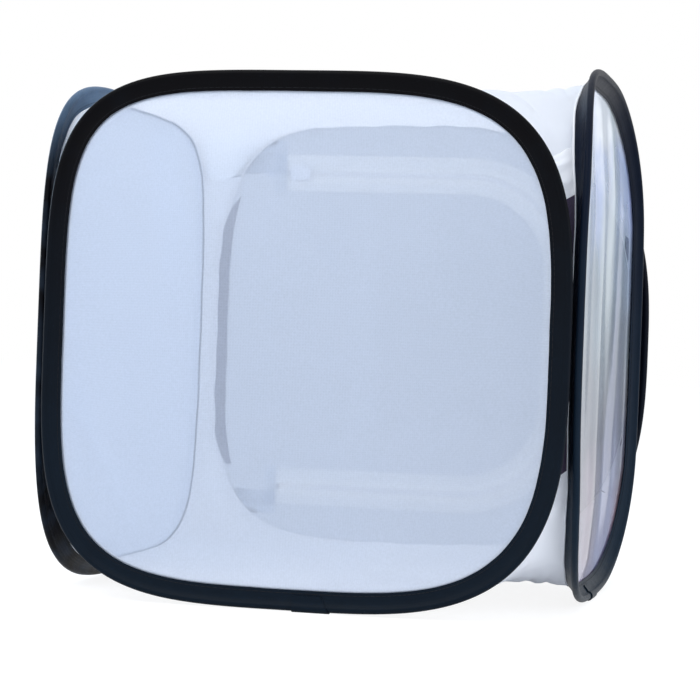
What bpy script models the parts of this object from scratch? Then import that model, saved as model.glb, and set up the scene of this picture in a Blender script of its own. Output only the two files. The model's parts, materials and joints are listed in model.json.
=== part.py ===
"""Pop-up insect cage of four sprung loops.

Each side of the cage is a loop of spring wire in a folded fabric binding. Three loops hold fine mesh and
the right one a clear window. A fabric top and floor join the loops, with an ear that runs down (or up)
between each two of them, and a dark tape closes every corner between the ears. The back has a mesh door
behind a C-shaped zip. Metres, +Z up, the front panel faces -Y, and the cage stands on z = 0.
"""

import math
from dataclasses import dataclass

import bmesh
import bpy
from mathutils import Matrix, Vector

# Cage
WIDTH_PITCH = 0.306       # between the corner axes of the front, and of the back
DEPTH_PITCH = 0.300       # from the front's corner axes to the back's
BACK_SHIFT = 0.008        # the cage stands a little askew, the back to the right of the front
FRONT_HEIGHT = 0.305      # ground to the top of each loop's binding
LEFT_HEIGHT = 0.306
BACK_HEIGHT = 0.319
RIGHT_HEIGHT = 0.322
BACK_BULGE = 0.007        # the back loop's right side stands past the corner axis
RIGHT_SHORTFALL = 0.011   # the right loop's far side stops before the corner axis
RIGHT_LEAN = 0.008        # the right loop's top and bottom are drawn inwards
FLANGE_SIDE_TILT = 30.0   # degrees that the side loops' binding turns inwards at the corners
FLANGE_ARC_TILT = 36.0    # and along their tops and bottoms
EAR_TIP = 0.47            # share of the half height where an ear ends and the corner tape begins
TILT_FULL = 0.9           # share of the half height from where the binding has its full tilt

# Wire, ferrule and binding
GAP = 0.0003              # between touching pieces
WIRE_RADIUS = 0.0007
FERRULE_WALL = 0.00035
FERRULE_LENGTH = 0.016
WIRE_END_GAP = 0.0016
TAPE_THICKNESS = 0.0005
BINDING_WIDTH = 0.012     # outer edge of the bead to the end of the flange
OVERLAP_LENGTH = 0.020    # where the binding's ends lie over each other, near the middle of the bottom
FRONT_OVERLAP_SHIFT = 0.011   # the front loop's overlap lies this far to the right of the middle
OVERLAP_SETBACK = 0.003   # the overlap stops before the end of the flange
SEAM_SETBACK = 0.0012     # top, floor and corner tapes are sewn on inside, this far from the flange's end

# Sheets
MESH_THICKNESS = 0.0004
FABRIC_THICKNESS = 0.0005
SLOT_DEPTH = 0.0050       # how far a panel's edge goes into the flange
SLOT_ROOM = 0.0005        # either side of the panel within the flange

# Door and zip, seen from the back panel's plane
DOOR_HINGE_X = -0.074
ZIP_END_X = -0.092        # where the tapes end, past the hinge line
ZIP_RIGHT_X = 0.106
ZIP_TOP_Z = 0.271
ZIP_BOTTOM_Z = 0.050
ZIP_CORNER_RADIUS = 0.066
COIL_GAP = 0.0024         # between the two rows' sewn edges
COIL_SPINE = 0.0009       # width of a row's sewn edge
COIL_ROOM = 0.0005        # between a row and its tape
ZIP_TAPE_WIDTH = 0.0111
ZIP_MESH_SETBACK = 0.006  # the mesh edge from the zip's centre line
TOOTH_PITCH = 0.005
TOOTH_ROOT = 0.0013       # width along the zip
TOOTH_HEAD = 0.0020
TOOTH_OVERLAP = 0.0008    # how far a head passes the centre line
TOOTH_THICKNESS = 0.0024
DOOR_TAPE_START = 0.010   # from the hinge line
DOOR_TEETH_START = 0.012
SLIDER_LENGTH = 0.014
SLIDER_NOSE_WIDTH = 0.010
SLIDER_TAIL_WIDTH = 0.0092
SLIDER_PLATE = 0.0012
SLIDER_LIP = 0.0010       # width of the lips that hold the tapes in
SLIDER_POST_LENGTH = 0.0036
SLIDER_INSET = 0.0004     # of the post and the lips from the plates' ends
SLIDER_BLUNT = 0.0015     # corners cut off the nose
CROWN_WIDTH = 0.0018
CROWN_SPAN = 0.0064       # over its two legs
CROWN_LEG = 0.0010
CROWN_ROOM = 0.0022       # free height under the crown
PULL_LENGTH = 0.026
PULL_WIDTH = 0.0056
PULL_THICKNESS = 0.0010
PULL_BLUNT = 0.0014       # corners cut off the tab
PULL_EYE_LENGTH = 0.0050
PULL_EYE_WIDTH = 0.0032
STOP_LENGTH = 0.0016
PATCH_WIDTH = 0.008       # fabric patch sewn over each end of the zip

# How finely curves are cut
ARC_STEPS = 8             # from the middle of a loop's top to the tip of an ear
SIDE_STEPS = 3            # from there to the middle of its side
ZIP_CORNER_STEPS = 10
WELD = 1e-6               # points this close are one
FINE_STEPS = 240          # of the curve that the steps are picked from
TURN_WEIGHT = 0.09        # metres of curve that one radian of turning counts as

# Sizes that follow from the above
HALF_WIDTH = WIDTH_PITCH / 2
HALF_DEPTH = DEPTH_PITCH / 2
ROUND_GAP = GAP / math.cos(math.radians(31))   # keeps GAP between the flats of the six-sided round pieces
FERRULE_BORE = WIRE_RADIUS + ROUND_GAP
FERRULE_RADIUS = FERRULE_BORE + FERRULE_WALL
CHANNEL_RADIUS = FERRULE_RADIUS + ROUND_GAP
BEAD_RADIUS = CHANNEL_RADIUS + TAPE_THICKNESS
SLOT_HALF = MESH_THICKNESS / 2 + SLOT_ROOM
FLANGE_HALF = SLOT_HALF + TAPE_THICKNESS
FLANGE_REACH = BINDING_WIDTH - BEAD_RADIUS
PLANE_OFFSET = BEAD_RADIUS + 4 * GAP      # a loop's plane outside the corner axes
SIDE_OFFSET = BEAD_RADIUS + GAP           # a loop's side wire inside the corner axis
SEAM_REACH = FLANGE_REACH - SEAM_SETBACK
SEAM_OFF = -(FLANGE_HALF + 2 * GAP + FABRIC_THICKNESS / 2)
BACK_PLANE = HALF_DEPTH + PLANE_OFFSET
TAPE_LOW = MESH_THICKNESS / 2 + GAP       # the zip tape lies on the outside of the mesh
TAPE_HIGH = TAPE_LOW + TAPE_THICKNESS
TEETH_MID = (TAPE_LOW + TAPE_HIGH) / 2
TEETH_LOW = TEETH_MID - TOOTH_THICKNESS / 2
TEETH_HIGH = TEETH_MID + TOOTH_THICKNESS / 2
COIL_EDGE = COIL_GAP / 2
TAPE_EDGE = COIL_EDGE + COIL_SPINE + COIL_ROOM
SLIDER_REST_X = DOOR_HINGE_X - 3 * GAP - SLIDER_LENGTH / 2
PLATE_TOP = TEETH_HIGH + GAP + SLIDER_PLATE
PULL_AXIS_HEIGHT = PLATE_TOP + CROWN_ROOM / 2

BEAD_ANGLES = (90.0, 152.0, 208.0, 270.0)
ROUND_ANGLES = (20.0, *BEAD_ANGLES, 340.0)
UP = Vector((0.0, 0.0, 1.0))


@dataclass(frozen=True)
class Station:
    """A place on a loop's wire, with the two directions that a cross-section is drawn in."""

    place: Vector
    inward: Vector        # along the flange, away from the wire
    across: Vector        # through the flange's thickness, towards the outside of the cage

    def point(self, reach, off):
        """Returns the point that lies reach along the flange and off through it."""
        return self.place + self.inward * reach + self.across * off


@dataclass(frozen=True)
class Loop:
    """One sprung loop: a rounded square whose corners may differ."""

    name: str
    foot: Vector          # midway between its two corner axes, on the ground
    along: Vector         # direction of its width
    outward: Vector
    behind: float         # half width on the side away from along
    ahead: float
    height: float
    corners: tuple        # exponents: upper ahead, lower ahead, upper behind, lower behind
    lean: float = 0.0
    side_tilt: float = 0.0
    arc_tilt: float = 0.0
    overlap_shift: float = 0.0

    @property
    def drop(self):
        """Depth of the overlap sleeve's lowest corner below the wire."""
        tilt = math.radians(self.arc_tilt)
        return max(-(r * math.cos(tilt) + t * math.sin(tilt)) for r, t in overlap_section())

    @property
    def half_height(self):
        return (self.height - self.drop - BEAD_RADIUS) / 2

    def station(self, u, w, exponent):
        """Returns the station at width u and height w from the loop's middle."""
        half = self.half_height
        reach = self.ahead if u >= 0 else self.behind
        normal_u = math.copysign(abs(u / reach) ** (exponent - 1) / reach, u)
        normal_w = math.copysign(abs(w / half) ** (exponent - 1) / half, w)
        inner = -(self.along * normal_u + UP * normal_w).normalized()
        rise = max(0.0, (abs(w) / half - EAR_TIP) / (1 - EAR_TIP))
        turned = min(1.0, rise * (1 - EAR_TIP) / (TILT_FULL - EAR_TIP))
        share = turned * turned * (3 - 2 * turned)
        tilt = math.radians(self.side_tilt + (self.arc_tilt - self.side_tilt) * share)
        place = self.foot + self.along * u + UP * (w + half + self.drop)
        place += self.outward * (PLANE_OFFSET - self.lean * rise * rise)
        return Station(
            place,
            inner * math.cos(tilt) - self.outward * math.sin(tilt),
            self.outward * math.cos(tilt) + inner * math.sin(tilt),
        )

    def quarter(self, side, upper):
        """Stations of one quarter, from the middle of the top or bottom to the middle of the side."""
        reach = self.ahead if side > 0 else self.behind
        exponent = self.corners[(0 if upper else 1) + (0 if side > 0 else 2)]
        half = self.half_height
        curve = []
        for n in range(FINE_STEPS + 1):
            angle = math.pi / 2 * n / FINE_STEPS
            u = reach * math.sin(angle) ** (2 / exponent)
            w = half * max(0.0, math.cos(angle)) ** (2 / exponent)
            curve.append((u, w))
        tip = next(n for n, (_, w) in enumerate(curve) if w <= EAR_TIP * half)
        chosen = even_steps(curve[: tip + 1], ARC_STEPS) + even_steps(curve[tip:], SIDE_STEPS)[1:]
        chosen[1] = (chosen[1][0], half)      # straight across the middle of the top and bottom
        sign = 1 if upper else -1
        return [self.station(side * u, sign * w, exponent) for u, w in chosen]

    def half(self, side):
        """Stations of one half, from the middle of the top to the middle of the bottom."""
        return self.quarter(side, True) + self.quarter(side, False)[-2::-1]

    def ring(self):
        """All stations of the loop, once round."""
        return self.half(1) + self.half(-1)[-2:0:-1]

    def bottom(self, u):
        """The station at width u on the bottom run, on the straight between the nearest two stations."""
        middle, beside = self.quarter(1 if u >= 0 else -1, False)[:2]
        share = abs(u) / (beside.place - middle.place).length
        return Station(
            middle.place.lerp(beside.place, share),
            middle.inward.lerp(beside.inward, share),
            middle.across.lerp(beside.across, share),
        )


def even_steps(curve, steps):
    """Picks steps + 1 points of a fine curve, evenly by length and turning taken together."""
    travelled = [0.0]
    heading = None
    for (u0, w0), (u1, w1) in zip(curve, curve[1:]):
        direction = math.atan2(w1 - w0, u1 - u0)
        turn = 0.0 if heading is None else abs(direction - heading)
        heading = direction
        travelled.append(travelled[-1] + math.hypot(u1 - u0, w1 - w0) + TURN_WEIGHT * turn)
    total = travelled[-1]
    picked = []
    for n in range(steps + 1):
        wanted = total * n / steps
        index = min(range(len(curve)), key=lambda i: abs(travelled[i] - wanted))
        picked.append(curve[index])
    return picked


def bead_outline(bead, leg, reach):
    """Outline of a folded tape from one flange end round the bead to the other, as (reach, off) points."""
    start = math.degrees(math.asin(leg / bead))
    round_part = [
        (bead * math.cos(math.radians(a)), bead * math.sin(math.radians(a)))
        for a in (start, *BEAD_ANGLES, 360 - start)
    ]
    return [(reach, leg), *round_part, (reach, -leg)]


def folded_section(bead, leg, reach, wall):
    """Closed section of a folded tape of the given inner bead radius, inner leg distance and wall."""
    outer = bead_outline(bead + wall, leg + wall, reach)
    inner = bead_outline(bead, leg, reach)
    return outer + inner[::-1]


def binding_section():
    return folded_section(CHANNEL_RADIUS, SLOT_HALF, FLANGE_REACH, TAPE_THICKNESS)


def overlap_section():
    return folded_section(
        BEAD_RADIUS + GAP, FLANGE_HALF + GAP, FLANGE_REACH - OVERLAP_SETBACK, TAPE_THICKNESS
    )


def round_section(radius):
    return [(radius * math.cos(math.radians(a)), radius * math.sin(math.radians(a))) for a in ROUND_ANGLES]


def sweep(stations, section, closed=False):
    """Lofts a closed section along stations, capped at both ends unless the path is closed."""
    bm = bmesh.new()
    rings = [[bm.verts.new(s.point(r, t)) for r, t in section] for s in stations]
    pairs = list(zip(rings, rings[1:]))
    if closed:
        pairs.append((rings[-1], rings[0]))
    for first, second in pairs:
        for n in range(len(section)):
            m = (n + 1) % len(section)
            if section[n][0] > section[m][0]:
                bm.faces.new((first[n], first[m], second[m]))
                bm.faces.new((first[n], second[m], second[n]))
            else:
                bm.faces.new((first[n], first[m], second[n]))
                bm.faces.new((first[m], second[m], second[n]))
    if not closed:
        bm.faces.new(rings[0])
        bm.faces.new(rings[-1][::-1])
    return bm


def tube(stations, outer, inner):
    """Lofts a pipe with a bore along stations; both sections have the same number of points."""
    bm = bmesh.new()
    skins = [
        [[bm.verts.new(s.point(r, t)) for r, t in section] for s in stations] for section in (outer, inner)
    ]
    count = len(outer)
    for skin in skins:
        for first, second in zip(skin, skin[1:]):
            for n in range(count):
                m = (n + 1) % count
                bm.faces.new((first[n], first[m], second[m], second[n]))
    for end in (0, -1):
        for n in range(count):
            m = (n + 1) % count
            bm.faces.new((skins[0][end][n], skins[0][end][m], skins[1][end][m], skins[1][end][n]))
    return bm


def extruded(bm, step):
    """Makes a solid of a flat bmesh by extruding all its faces along step."""
    grown = bmesh.ops.extrude_face_region(bm, geom=list(bm.faces))
    moved = [v for v in grown["geom"] if isinstance(v, bmesh.types.BMVert)]
    bmesh.ops.translate(bm, verts=moved, vec=step)
    return bm


def prism(outline, low, high, turn=None):
    """Extrudes a flat outline of (x, y) points from z = low to z = high, then applies turn."""
    bm = bmesh.new()
    bm.faces.new([bm.verts.new((x, y, low)) for x, y in outline])
    extruded(bm, (0.0, 0.0, high - low))
    if turn is not None:
        bmesh.ops.transform(bm, matrix=turn, verts=bm.verts)
    return bm


def box_outline(x0, x1, y0, y1):
    return [(x0, y0), (x1, y0), (x1, y1), (x0, y1)]


def material(name, colour, roughness, metallic=0.0, alpha=1.0):
    """Makes a plain finish."""
    made = bpy.data.materials.new(name)
    made.use_nodes = True
    shader = made.node_tree.nodes["Principled BSDF"]
    shader.inputs["Base Color"].default_value = (*colour, 1.0)
    shader.inputs["Roughness"].default_value = roughness
    shader.inputs["Metallic"].default_value = metallic
    shader.inputs["Alpha"].default_value = alpha
    made.diffuse_color = (*colour, alpha)
    return made


def make_object(name, bm, finish, parent=None, smooth_angle=None):
    """Turns a bmesh into a named object with its faces pointing out, under an optional parent."""
    bmesh.ops.recalc_face_normals(bm, faces=bm.faces)
    mesh = bpy.data.meshes.new(name)
    bm.to_mesh(mesh)
    bm.free()
    mesh.materials.append(finish)
    made = bpy.data.objects.new(name, mesh)
    bpy.context.scene.collection.objects.link(made)
    if smooth_angle is not None:
        mesh.shade_smooth()
        mesh.set_sharp_from_angle(angle=math.radians(smooth_angle))
    if parent is not None:
        made.parent = parent
        made.matrix_parent_inverse = parent.matrix_world.inverted()
    return made


def thicken(made, thickness):
    """Gives a sheet its thickness, half to each side."""
    wall = made.modifiers.new("thickness", "SOLIDIFY")
    wall.thickness = thickness
    wall.offset = 0.0
    wall.use_even_offset = True
    return made


def joint_empty(name, place, parent=None):
    """Makes an empty on a joint's axis, which the moving pieces hang from."""
    empty = bpy.data.objects.new(name, None)
    empty.empty_display_size = 0.02
    empty.location = place
    bpy.context.scene.collection.objects.link(empty)
    bpy.context.view_layer.update()
    if parent is not None:
        empty.parent = parent
        empty.matrix_parent_inverse = parent.matrix_world.inverted()
        bpy.context.view_layer.update()
    return empty


def corner_axis(side, end):
    """Foot of the corner axis on the left (side -1) or right (1) of the front (end -1) or back (1)."""
    return Vector((side * HALF_WIDTH + end * BACK_SHIFT / 2, end * HALF_DEPTH, 0.0))


def loop_between(name, axes, turn, past, height, corners, **more):
    """Sets out a loop from one corner axis to the next; its side there ends past it by the length given."""
    start, end = axes
    along = (end - start).normalized()
    outward = Vector((-along.y, along.x, 0.0)) * turn
    half = (end - start).length / 2
    return Loop(
        name, (start + end) / 2, along, outward, half - SIDE_OFFSET, half + past, height, corners, **more
    )


def make_loops():
    """Sets out the four loops."""
    front_left, front_right = corner_axis(-1, -1), corner_axis(1, -1)
    back_left, back_right = corner_axis(-1, 1), corner_axis(1, 1)
    tilts = {"side_tilt": FLANGE_SIDE_TILT, "arc_tilt": FLANGE_ARC_TILT}
    loops = (
        loop_between(
            "front", (front_left, front_right), -1, -SIDE_OFFSET, FRONT_HEIGHT, (3.5, 3.4, 4.3, 3.8),
            overlap_shift=FRONT_OVERLAP_SHIFT,
        ),
        loop_between(
            "left", (front_left, back_left), 1, -SIDE_OFFSET, LEFT_HEIGHT, (4.1, 3.9, 4.1, 3.5), **tilts
        ),
        loop_between(
            "back", (back_left, back_right), 1, BACK_BULGE, BACK_HEIGHT, (2.7, 3.1, 3.8, 4.0)
        ),
        loop_between(
            "right", (front_right, back_right), -1, -RIGHT_SHORTFALL, RIGHT_HEIGHT, (2.8, 3.4, 3.2, 2.8),
            lean=RIGHT_LEAN, **tilts,
        ),
    )
    return {loop.name: loop for loop in loops}


def make_frame_pieces(loop, finishes, parent):
    """Builds a loop's wire, the ferrule on its ends, its binding and the overlap of the binding's ends."""
    ends = [loop.bottom(side * WIRE_END_GAP / 2) for side in (1, -1)]
    round_trip = [ends[0]] + loop.half(1)[-2::-1] + loop.half(-1)[1:-1] + [ends[1]]
    make_object(
        f"{loop.name}_wire", sweep(round_trip, round_section(WIRE_RADIUS)), finishes["steel"], parent, 50
    )
    across = [loop.bottom(u) for u in (-FERRULE_LENGTH / 2, 0.0, FERRULE_LENGTH / 2)]
    make_object(
        f"{loop.name}_ferrule",
        tube(across, round_section(FERRULE_RADIUS), round_section(FERRULE_BORE)),
        finishes["steel"], parent, 50,
    )
    make_object(
        f"{loop.name}_binding", sweep(loop.ring(), binding_section(), closed=True),
        finishes["binding"], parent, 45,
    )
    across = [loop.bottom(loop.overlap_shift + u) for u in (-OVERLAP_LENGTH / 2, 0.0, OVERLAP_LENGTH / 2)]
    make_object(
        f"{loop.name}_tape_overlap", sweep(across, overlap_section()), finishes["binding"], parent, 45
    )


def panel_sheet(loop):
    """Middle surface of a panel: a rim in the flange's slot, and rungs from side to side within it."""
    bm = bmesh.new()
    sides = []
    for side in (1, -1):
        stations = loop.half(side)
        rim = [bm.verts.new(s.point(FLANGE_REACH - SLOT_DEPTH, 0.0)) for s in stations]
        seam = [bm.verts.new(s.point(FLANGE_REACH + 2 * GAP, 0.0)) for s in stations]
        for n in range(len(stations) - 1):
            first, second = (n, n + 1) if side > 0 else (n + 1, n)
            bm.faces.new((seam[first], rim[first], rim[second]))
            bm.faces.new((seam[first], rim[second], seam[second]))
        sides.append(seam)
    ahead, behind = sides
    last = len(ahead) - 1
    bm.faces.new((*ahead[:3], behind[2], behind[1]))
    bm.faces.new((*ahead[last - 2 :], behind[last - 1], behind[last - 2]))
    for n in range(2, last - 2):
        bm.faces.new((ahead[n], ahead[n + 1], behind[n + 1], behind[n]))
    bmesh.ops.remove_doubles(bm, verts=bm.verts, dist=WELD)
    return bm


def seam_points(loop, side, upper):
    """Where the top, floor and corner tapes are sewn on, from the middle of the run to the side's."""
    return [s.point(SEAM_REACH, SEAM_OFF) for s in loop.quarter(side, upper)]


# Neighbouring loops at each corner, with the side of each loop that meets there
CORNERS = {
    "front_right": (("front", 1), ("right", -1)),
    "front_left": (("front", -1), ("left", -1)),
    "back_left": (("back", -1), ("left", 1)),
    "back_right": (("back", 1), ("right", 1)),
}


def cover_sheet(loops, upper):
    """Middle surface of the top or floor: a flat middle and an ear in each corner, ruled corner-wise."""
    bm = bmesh.new()
    apexes = {name: bm.verts.new(seam_points(loop, 1, upper)[0]) for name, loop in loops.items()}
    middle = bm.verts.new(sum((v.co for v in apexes.values()), Vector()) / len(apexes))
    for (first, first_side), (second, second_side) in CORNERS.values():
        rails = []
        for name, side in ((first, first_side), (second, second_side)):
            points = seam_points(loops[name], side, upper)[1 : ARC_STEPS + 1]
            rails.append([apexes[name]] + [bm.verts.new(p) for p in points])
        bm.faces.new((middle, rails[0][0], rails[1][0]))
        for n in range(ARC_STEPS):
            bm.faces.new((rails[0][n], rails[0][n + 1], rails[1][n + 1], rails[1][n]))
    return bm


def corner_sheet(loops, corner):
    """Middle surface of the dark tape between two loops' sides, from ear to ear."""
    rails = []
    for name, side in CORNERS[corner]:
        upper = seam_points(loops[name], side, True)[ARC_STEPS:]
        lower = seam_points(loops[name], side, False)[ARC_STEPS:]
        rail = upper + lower[-2::-1]
        clear = 3 * GAP + FABRIC_THICKNESS
        rail[0] = rail[0] + (rail[1] - rail[0]).normalized() * clear
        rail[-1] = rail[-1] + (rail[-2] - rail[-1]).normalized() * clear
        rails.append(rail)
    bm = bmesh.new()
    first, second = [[bm.verts.new(p) for p in rail] for rail in rails]
    for n in range(len(first) - 1):
        bm.faces.new((first[n], first[n + 1], second[n + 1], second[n]))
    return bm


@dataclass(frozen=True)
class ZipPath:
    """The zip's centre line in the back panel's plane: along the top, down the right side and back."""

    left: float
    right: float
    top: float
    bottom: float
    radius: float

    @property
    def run(self):
        return self.right - self.radius - self.left

    @property
    def arc(self):
        return math.pi / 2 * self.radius

    @property
    def rise(self):
        return self.top - self.bottom - 2 * self.radius

    @property
    def length(self):
        return 2 * self.run + 2 * self.arc + self.rise

    def station(self, s):
        """Returns the station at length s, whose inward direction points away from the door."""
        if s > self.length / 2:
            mirrored = self.station(self.length - s)
            x, _, z = mirrored.place
            return Station(
                Vector((x, BACK_PLANE, self.top + self.bottom - z)),
                Vector((mirrored.inward.x, 0.0, -mirrored.inward.z)),
                mirrored.across,
            )
        if s <= self.run:
            x, z, angle = self.left + s, self.top, math.pi / 2
        elif s <= self.run + self.arc:
            angle = math.pi / 2 - (s - self.run) / self.radius
            x = self.right - self.radius + self.radius * math.cos(angle)
            z = self.top - self.radius + self.radius * math.sin(angle)
        else:
            x, z, angle = self.right, self.top - self.radius - (s - self.run - self.arc), 0.0
        away = Vector((math.cos(angle), 0.0, math.sin(angle)))
        return Station(Vector((x, BACK_PLANE, z)), away, Vector((0.0, 1.0, 0.0)))

    def stops(self, start, end):
        """Lengths from start to end where a sweep needs a station."""
        bends = []
        for bend in (self.run, self.run + self.arc + self.rise):
            bends += [bend + self.arc * n / ZIP_CORNER_STEPS for n in range(ZIP_CORNER_STEPS + 1)]
        return [start] + [s for s in bends if start < s < end] + [end]


ZIP = ZipPath(ZIP_END_X, ZIP_RIGHT_X, ZIP_TOP_Z, ZIP_BOTTOM_Z, ZIP_CORNER_RADIUS)


def flat_fill(outlines):
    """Fills flat outlines in the back panel's plane; inner outlines are holes."""
    bm = bmesh.new()
    for outline in outlines:
        verts = [bm.verts.new(p) for p in outline]
        for first, second in zip(verts, verts[1:] + verts[:1]):
            bm.edges.new((first, second))
    bmesh.ops.triangle_fill(bm, edges=bm.edges, use_beauty=True, normal=(0.0, 1.0, 0.0))
    return bm


def back_point(x, z):
    return Vector((x, BACK_PLANE, z))


def door_opening():
    """Outline of the back panel's cut-out: the door, and a slot on past the hinge line for each zip end."""
    rim = [ZIP.station(s).point(ZIP_MESH_SETBACK, 0.0) for s in ZIP.stops(0.0, ZIP.length)]
    hinge = DOOR_HINGE_X - 2 * GAP
    inner_top = ZIP_TOP_Z - ZIP_MESH_SETBACK
    inner_bottom = ZIP_BOTTOM_Z + ZIP_MESH_SETBACK
    return rim + [
        back_point(ZIP_END_X, inner_bottom),
        back_point(hinge, inner_bottom),
        back_point(hinge, inner_top),
        back_point(ZIP_END_X, inner_top),
    ]


def door_outline():
    """Outline of the door's mesh."""
    start = DOOR_HINGE_X + 2 * GAP - ZIP_END_X
    return [ZIP.station(s).point(-ZIP_MESH_SETBACK, 0.0) for s in ZIP.stops(start, ZIP.length - start)]


def zip_tape(start, end, side):
    """A zip tape beside the centre line; side 1 is the back panel's and -1 the door's."""
    section = [
        (side * TAPE_EDGE, TAPE_LOW),
        (side * (TAPE_EDGE + ZIP_TAPE_WIDTH), TAPE_LOW),
        (side * (TAPE_EDGE + ZIP_TAPE_WIDTH), TAPE_HIGH),
        (side * TAPE_EDGE, TAPE_HIGH),
    ]
    return sweep([ZIP.station(s) for s in ZIP.stops(start, end)], section)


def tooth_points(s, side):
    """One dovetail tooth at length s: root, head, head, root, and the coil's sewn edge behind it."""
    root, head, sewn = side * COIL_EDGE, -side * TOOTH_OVERLAP, side * (COIL_EDGE + COIL_SPINE)
    narrow, wide = TOOTH_ROOT / 2, TOOTH_HEAD / 2
    station = ZIP.station(s)
    run = station.across.cross(station.inward)
    outline = ((-narrow, root), (-wide, head), (wide, head), (narrow, root), (narrow, sewn))
    return [station.point(v, TEETH_LOW) + run * along for along, v in outline]


def zip_teeth(start, end, side):
    """A row of teeth on the coil's sewn edge; the door's row is set half a pitch on, between the other's."""
    shift = 0.0 if side > 0 else TOOTH_PITCH / 2
    first = math.ceil((start - shift) / TOOTH_PITCH)
    last = math.floor((end - shift) / TOOTH_PITCH)
    bm = bmesh.new()
    behind = []
    for n in range(first, last + 1):
        corners = tooth_points(shift + n * TOOTH_PITCH, side)
        if not behind:
            behind = [bm.verts.new(corners[4] + corners[0] - corners[3])]
        tooth = [bm.verts.new(p) for p in corners]
        bm.faces.new(tooth + behind)
        behind = [tooth[4], tooth[3]]
    return extruded(bm, (0.0, TOOTH_THICKNESS, 0.0))


def on_back(x, z):
    """Matrix that stands a prism drawn in (x, z) on the back panel's outside at the place given."""
    turn = Matrix(((1, 0, 0, 0), (0, 0, 1, 0), (0, 1, 0, 0), (0, 0, 0, 1)))
    return Matrix.Translation((x, BACK_PLANE, z)) @ turn


def join(base, others):
    """Unites overlapping pieces into one solid with live Booleans."""
    for n, other in enumerate(others):
        cut = base.modifiers.new(f"join_{n}", "BOOLEAN")
        cut.operation = "UNION"
        cut.solver = "EXACT"
        cut.object = other
        other.hide_render = True
        other.display_type = "WIRE"
    return base


def make_slider(finish, parent):
    """Zip slider: two lipped plates either side of the teeth, the post between them and the crown."""
    place = on_back(SLIDER_REST_X, ZIP_TOP_Z)
    nose, tail = -SLIDER_LENGTH / 2, SLIDER_LENGTH / 2
    wide, narrow = SLIDER_NOSE_WIDTH / 2, SLIDER_TAIL_WIDTH / 2
    half_plan = [(nose, wide - SLIDER_BLUNT), (nose + SLIDER_BLUNT, wide), (0.0, wide), (tail, narrow)]
    plan = half_plan + [(x, -z) for x, z in reversed(half_plan)]
    sink = SLIDER_PLATE / 3
    low, high = TEETH_LOW - GAP, TEETH_HIGH + GAP
    base = make_object("zip_slider", prism(plan, high, PLATE_TOP, place), finish, parent, 30)
    parts = [("slider_inner_plate", prism(plan, low - SLIDER_PLATE, low, place))]
    start = nose + SLIDER_INSET
    post = box_outline(start, start + SLIDER_POST_LENGTH, -COIL_EDGE + GAP, COIL_EDGE - GAP)
    parts.append(("slider_post", prism(post, low - sink, high + sink, place)))
    for name, side in (("upper", 1), ("lower", -1)):
        edge = narrow - SLIDER_INSET / 4
        rail = box_outline(nose + SLIDER_BLUNT, tail - SLIDER_INSET, side * (edge - SLIDER_LIP), side * edge)
        parts.append((f"slider_{name}_outer_lip", prism(rail, TAPE_HIGH + GAP, high + sink, place)))
        parts.append((f"slider_{name}_inner_lip", prism(rail, low - sink, TAPE_LOW - GAP, place)))
    span, step, top = CROWN_SPAN / 2, CROWN_SPAN / 2 - CROWN_LEG, PLATE_TOP + CROWN_ROOM
    half_arch = [(span, top), (span, PLATE_TOP - sink), (step, PLATE_TOP - sink), (step, top)]
    arch = [(-step, top + CROWN_LEG), (step, top + CROWN_LEG)] + half_arch
    arch += [(-x, y) for x, y in reversed(half_arch)]
    upright = Matrix.Translation((SLIDER_REST_X, BACK_PLANE, ZIP_TOP_Z))
    parts.append(("slider_crown", prism(arch, -CROWN_WIDTH / 2, CROWN_WIDTH / 2, upright)))
    return join(base, [make_object(name, bm, finish, parent) for name, bm in parts])


def make_pull(finish, parent):
    """Pull tab, whose eye bar lies under the slider's crown and which points left, flat on the back."""
    bar = PULL_THICKNESS / 2
    end = bar - PULL_LENGTH
    wide, narrow = PULL_WIDTH / 2, PULL_WIDTH / 2 - PULL_BLUNT / 2
    half_outline = [(bar, narrow), (bar - PULL_BLUNT / 2, wide), (end + PULL_BLUNT, wide), (end, narrow)]
    outline = half_outline + [(x, -z) for x, z in reversed(half_outline)]
    low = PULL_AXIS_HEIGHT - PULL_THICKNESS / 2
    high = PULL_AXIS_HEIGHT + PULL_THICKNESS / 2
    place = on_back(SLIDER_REST_X, ZIP_TOP_Z)
    tab = make_object("zip_pull", prism(outline, low, high, place), finish, parent, 30)
    eye = box_outline(-bar - PULL_EYE_LENGTH, -bar, -PULL_EYE_WIDTH / 2, PULL_EYE_WIDTH / 2)
    through = prism(eye, low - PULL_THICKNESS, high + PULL_THICKNESS, place)
    cutter = make_object("pull_eye_cutter", through, finish, parent)
    cut = tab.modifiers.new("eye", "BOOLEAN")
    cut.operation = "DIFFERENCE"
    cut.solver = "EXACT"
    cut.object = cutter
    cutter.hide_render = True
    cutter.display_type = "WIRE"
    return tab


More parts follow.
